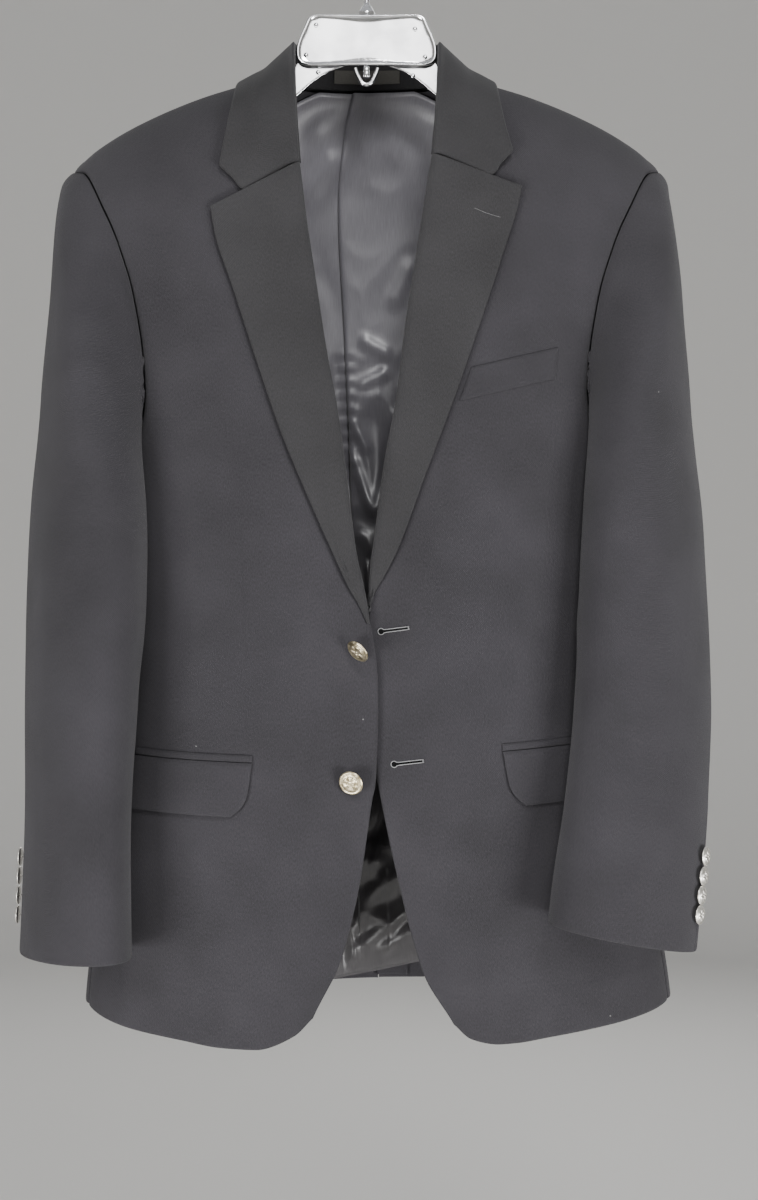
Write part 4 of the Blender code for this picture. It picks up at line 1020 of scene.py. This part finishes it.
for name, (out, z, droop) in FRONT_BUTTONS.items():
    cloth_at = place(on_front(-1, np.array([out]), np.array([z])), -1)[0]
    lean = np.radians(droop)
    axis = np.array([0, -1, 0]) * np.cos(lean) + np.array(DROOP) * np.sin(lean)
    middle = cloth_at - np.array([0, SHANK + 1.0 + 9.4 * np.sin(lean), 0])
    at = middle - axis * (SHANK + 0.9)
    shape = button(at, axis, 10.0, 1.5, SHANK + 0.9)
    show("gilt_front_button_" + name, shape, GILT, "front_button_" + name)
    threads = [tube(along((at + axis * 0.4, (at + cloth_at) / 2 + [side * 0.5, 0, 1.0], cloth_at), np.linspace(0, 1, 12)), 0.3, 8)
               for side in (-1, 1)]
    show("shank_thread_" + name, join(threads), DARK_THREAD_AND_SLIT_SHADE)

# %% Cuff buttons
for side in (-1, 1):
    for k, z in enumerate(CUFF_BUTTONS[side]):
        theta = np.array([[TOP_SEAM_BACK + CUFF_TURN - 1.0, TOP_SEAM_BACK + CUFF_TURN, TOP_SEAM_BACK + CUFF_TURN + 1.0]])
        theta = theta + np.zeros((3, 1))
        top, low = (sleeve_point(side, theta, 0 * theta + v)[1, 1, 2] for v in (0, 1))
        v = (z - top) / (low - top) + np.array([[-0.004], [0.0], [0.004]]) + 0 * theta
        grid = place(sleeve_point(side, theta, v), side)
        axis = facing(grid, side > 0)[1, 1]
        at = grid[1, 1] + axis * CUFF_LIFT
        piece = button(at, axis, 7.5, 1.5, 3.6)
        show(f"gilt_cuff_button_{WEARER[side]}_{k + 1}", piece, SILVER, f"cuff_button_{WEARER[side]}_{k + 1}")

# %% [markdown]
# ## The hanger
#
# The hanger is a stamped metal one: broad arms inside the shoulders, a flat plate with a raised rim
# riveted to the front, a wire hook and a small wire loop below the plate. Polished chrome shows
# everything round it, so its shapes need true edges and a little unevenness.

# %% The arms and the front wing
ARMS = (  # out, top, bottom, half depth, middle from front to back
    (0, -97, -110, 1.2, -4.8), (12, -97.5, -110.5, 1.2, -4.8), (30, -99, -115.5, 1.2, -4.8),
    (45, -102.5, -124.5, 1.2, -4.8), (58, -108, -136, 1.3, -4.8), (66, -116, -143, 5, -2),
    (76, -125, -149, 13, 3), (108, -136.5, -160, 13.5, 3), (140, -146.5, -169, 13.5, 3),
    (190, -167.5, -189, 13, 3), (222, -186, -203, 9.5, 3), (230, -189.5, -200, 5, 3))
ARM_SECTION = (  # out, power of the section's sine and cosine: low is square, 1 is an ellipse
    (0, 0.22), (58, 0.25), (84, 0.6), (230, 0.9))
x = 230 * np.sin(np.linspace(-np.pi / 2, np.pi / 2, 200))
top, low, deep, middle_y = (through(np.abs(x), ARMS, c)[:, None] for c in (1, 2, 3, 4))
power = through(np.abs(x), ARM_SECTION)[:, None]
a = np.linspace(0, 2 * np.pi, 64, endpoint=False)[None]
y = middle_y + deep * np.sign(np.cos(a)) * np.abs(np.cos(a)) ** power
z = (top + low) / 2 + (top - low) / 2 * np.sign(np.sin(a)) * np.abs(np.sin(a)) ** power
grid = np.stack([x[:, None] + 0 * a, y, z], -1)
middle = grid.mean(1, keepdims=True)
grid = np.concatenate([np.repeat(middle[:1], 64, 1), grid, np.repeat(middle[-1:], 64, 1)])
arms = tidy(sheet_mesh("arms", grid, True, ring=True))
SCREW = ((0, 1.0), (0.7, 0.95), (1.5, 0.7), (2.0, 0.2), (2.1, -0.4), (0, -0.4))     # radius, height
wing_screws = [turned(SCREW, (x, through(abs(x), ARMS, 4) - through(abs(x), ARMS, 3), z), (0, -1, 0), 24)
               for x, z in ((-40.7, -116.9), (38.9, -119.8))]
show("chrome_hanger_arms", join([arms] + wing_screws), CHROME, "hanger_arms")

# %% The plate, its rim and its screws
PLATE = (  # half width, height down the outline
    (44, -70.0), (48.5, -72.5), (51, -77.5), (58.8, -101), (58.3, -106), (54.5, -110.8), (49, -112.4))
PLATE_Y, PLATE_MIDDLE = -9.5, -91.5


def plate_outline(n):
    half = along(PLATE, np.linspace(0, 1, n // 2))
    line = np.concatenate([half, half[::-1] * np.array([-1, 1])])
    closed = np.concatenate([line, line[:1]])
    far = np.concatenate([[0], np.cumsum(np.linalg.norm(np.diff(closed, axis=0), axis=1))])
    t = np.linspace(0, far[-1], n, endpoint=False)
    return np.column_stack([np.interp(t, far, closed[:, 0]), np.interp(t, far, closed[:, 1])])


line = plate_outline(200)
inner = np.array([0, PLATE_MIDDLE])
far = np.linalg.norm(line - inner, axis=1)
profile = (  # in from the outline, forward from the plate's middle
    (0.0, -1.6), (0.0, 1.3), (0.4, 1.9), (1.2, 2.1), (2.2, 2.0), (2.9, 1.4), (3.6, 1.1), (8, 1.0), (20, 1.05), (200, 1.1))
rings = [np.repeat([[0.0, PLATE_Y + 1.6, PLATE_MIDDLE]], len(line), 0)]
for back_in, forward in profile:
    part = np.clip(1 - back_in / far, 0, 1)[:, None]
    flat = inner + (line - inner) * part
    rings.append(np.column_stack([flat[:, 0], 0 * far + PLATE_Y - forward, flat[:, 1]]))
plate = tidy(sheet_mesh("plate", np.array(rings), True, ring=True))
screws = []
for x, z in ((-42.3, -78.7), (40.5, -82.1), (-50.7, -103.8), (48.9, -105.5)):
    screws.append(turned(SCREW, (x, PLATE_Y - 1.1, z), (0, -1, 0), 24))
show("chrome_front_plate", join([plate] + screws), CHROME, "hanger_plate")

# %% The hook, the loop and its lock tube
HOOK_RADIUS, WIRE = 20.0, 2.2
bend = np.radians(np.linspace(-78, 190, 90))
crook = np.column_stack([(HOOK_RADIUS + WIRE) * np.cos(bend), 0 * bend, -HOOK_RADIUS + (HOOK_RADIUS + WIRE) * np.sin(bend)])
stem = along(((0, 0, -96.6), (0, 0, -80), (0, 0, -66), (0, 0, -56), (0.3, 0, -50), (1.8, 0, -44.5), crook[0]), np.linspace(0, 1, 60))
path = np.concatenate([stem[:-1], crook])
flange = turned(((2.3, 13), (2.9, 11.5), (4.2, 10), (6.4, 6), (6.9, 5), (6.7, 0), (2.3, 0)), (0, 0, -70), (0, 0, 1), 40)
show("chrome_hook", join([tube(path, WIRE, 24), flange]), CHROME, "hanger_hook")
LOOP = (  # out, height of the wire loop below the plate
    (9.5, -114.4), (8.2, -118.5), (6.4, -122.5), (4.6, -125.8), (2.4, -127.6), (0, -128.2))
half = [(x, PLATE_Y, z) for x, z in LOOP]
path = along(half + [(-x, y, z) for x, y, z in half[-2::-1]], np.linspace(0, 1, 90))
show("chrome_loop", tube(path, 1.9, 16), CHROME, "hanger_loop")
LOCK_TOP = -113.2
rows = ((0, 0), (2.6, 0), (3.2, -0.6), (3.2, -4.5), (3.0, -5), (3.2, -5.5), (3.2, -8.9), (2.6, -9.5), (0, -9.5))
lock = turned(rows, (0, PLATE_Y, LOCK_TOP), (0, 0, 1), 40)
show("chrome_lock_tube", lock, CHROME, "hanger_lock")

# %% [markdown]
# ## Studio, camera and light
#
# A pale floor that sweeps up all round gives the dark coat a plain ground from every side. Large
# area lights keep the shadows soft. The camera looks level at the middle of the coat.

# %% The sweep
a = np.linspace(0, 2 * np.pi, 97)[:-1]
rows = [(0.0, -1600), (3600, -1600)]
rows += [(3600 + 1400 * np.sin(t), -200 - 1400 * np.cos(t)) for t in np.linspace(0.1, np.pi / 2, 12)]
rows += [(5000, 3600)]
rows = np.array(rows)
grid = np.stack([rows[:, :1] * np.cos(a), rows[:, :1] * np.sin(a), rows[:, 1:] + 0 * a], -1)
floor_mesh = tidy(sheet_mesh("sweep", grid, True, ring=True))
floor_mesh.flip_normals()
PALE, tree, shader = material("pale paper", 0.9)
shader.inputs["Base Color"].default_value = (0.62, 0.61, 0.59, 1)
floor_mesh.materials.append(PALE)
floor = bpy.data.objects.new("studio_sweep", floor_mesh)
bpy.context.scene.collection.objects.link(floor)

# %% Camera
CAMERA_AT = (0.0104, -1.425, -0.560)
VIEW_HEIGHT = 39.1      # degrees from the top to the bottom of the picture
lens = bpy.data.cameras.new("portrait")
lens.sensor_width = 36.0
lens.lens = 18.0 / np.tan(np.radians(VIEW_HEIGHT / 2))
camera = bpy.data.objects.new("portrait", lens)
camera.location = CAMERA_AT
camera.rotation_euler = (np.pi / 2, 0, 0)
bpy.context.scene.collection.objects.link(camera)
bpy.context.scene.camera = camera

# %% Lights
world = bpy.data.worlds.new("soft room")
world.use_nodes = True
world.node_tree.nodes["Background"].inputs[0].default_value = (0.95, 0.97, 1.0, 1)
world.node_tree.nodes["Background"].inputs[1].default_value = 0.6
bpy.context.scene.world = world
LIGHTS = (  # name, place, aim, width, height, watts
    ("key", (0.3, -1.7, 0.95), (0, 0, -0.5), 0.4, 0.4, 24),
    ("front high", (0.0, -2.7, 0.78), (0, 0, -0.2), 1.9, 0.8, 20),
    ("low right", (1.3, -1.45, -1.25), (0.1, 0, -0.95), 0.9, 0.7, 48),
    ("low left", (-1.3, -1.45, -1.25), (-0.1, 0, -0.95), 0.9, 0.7, 40),
    ("back", (0.4, 2.6, 0.6), (0, 0, -0.5), 2.0, 2.0, 34))
for name, at, aim, width, height, watts in LIGHTS:
    lamp = bpy.data.lights.new(name, "AREA")
    lamp.shape = "RECTANGLE"
    lamp.size, lamp.size_y = width, height
    lamp.energy = watts
    holder = bpy.data.objects.new(name, lamp)
    holder.location = at
    way = np.asarray(aim, float) - np.asarray(at, float)
    holder.rotation_euler = Vector(way).to_track_quat("-Z", "Y").to_euler()
    bpy.context.scene.collection.objects.link(holder)
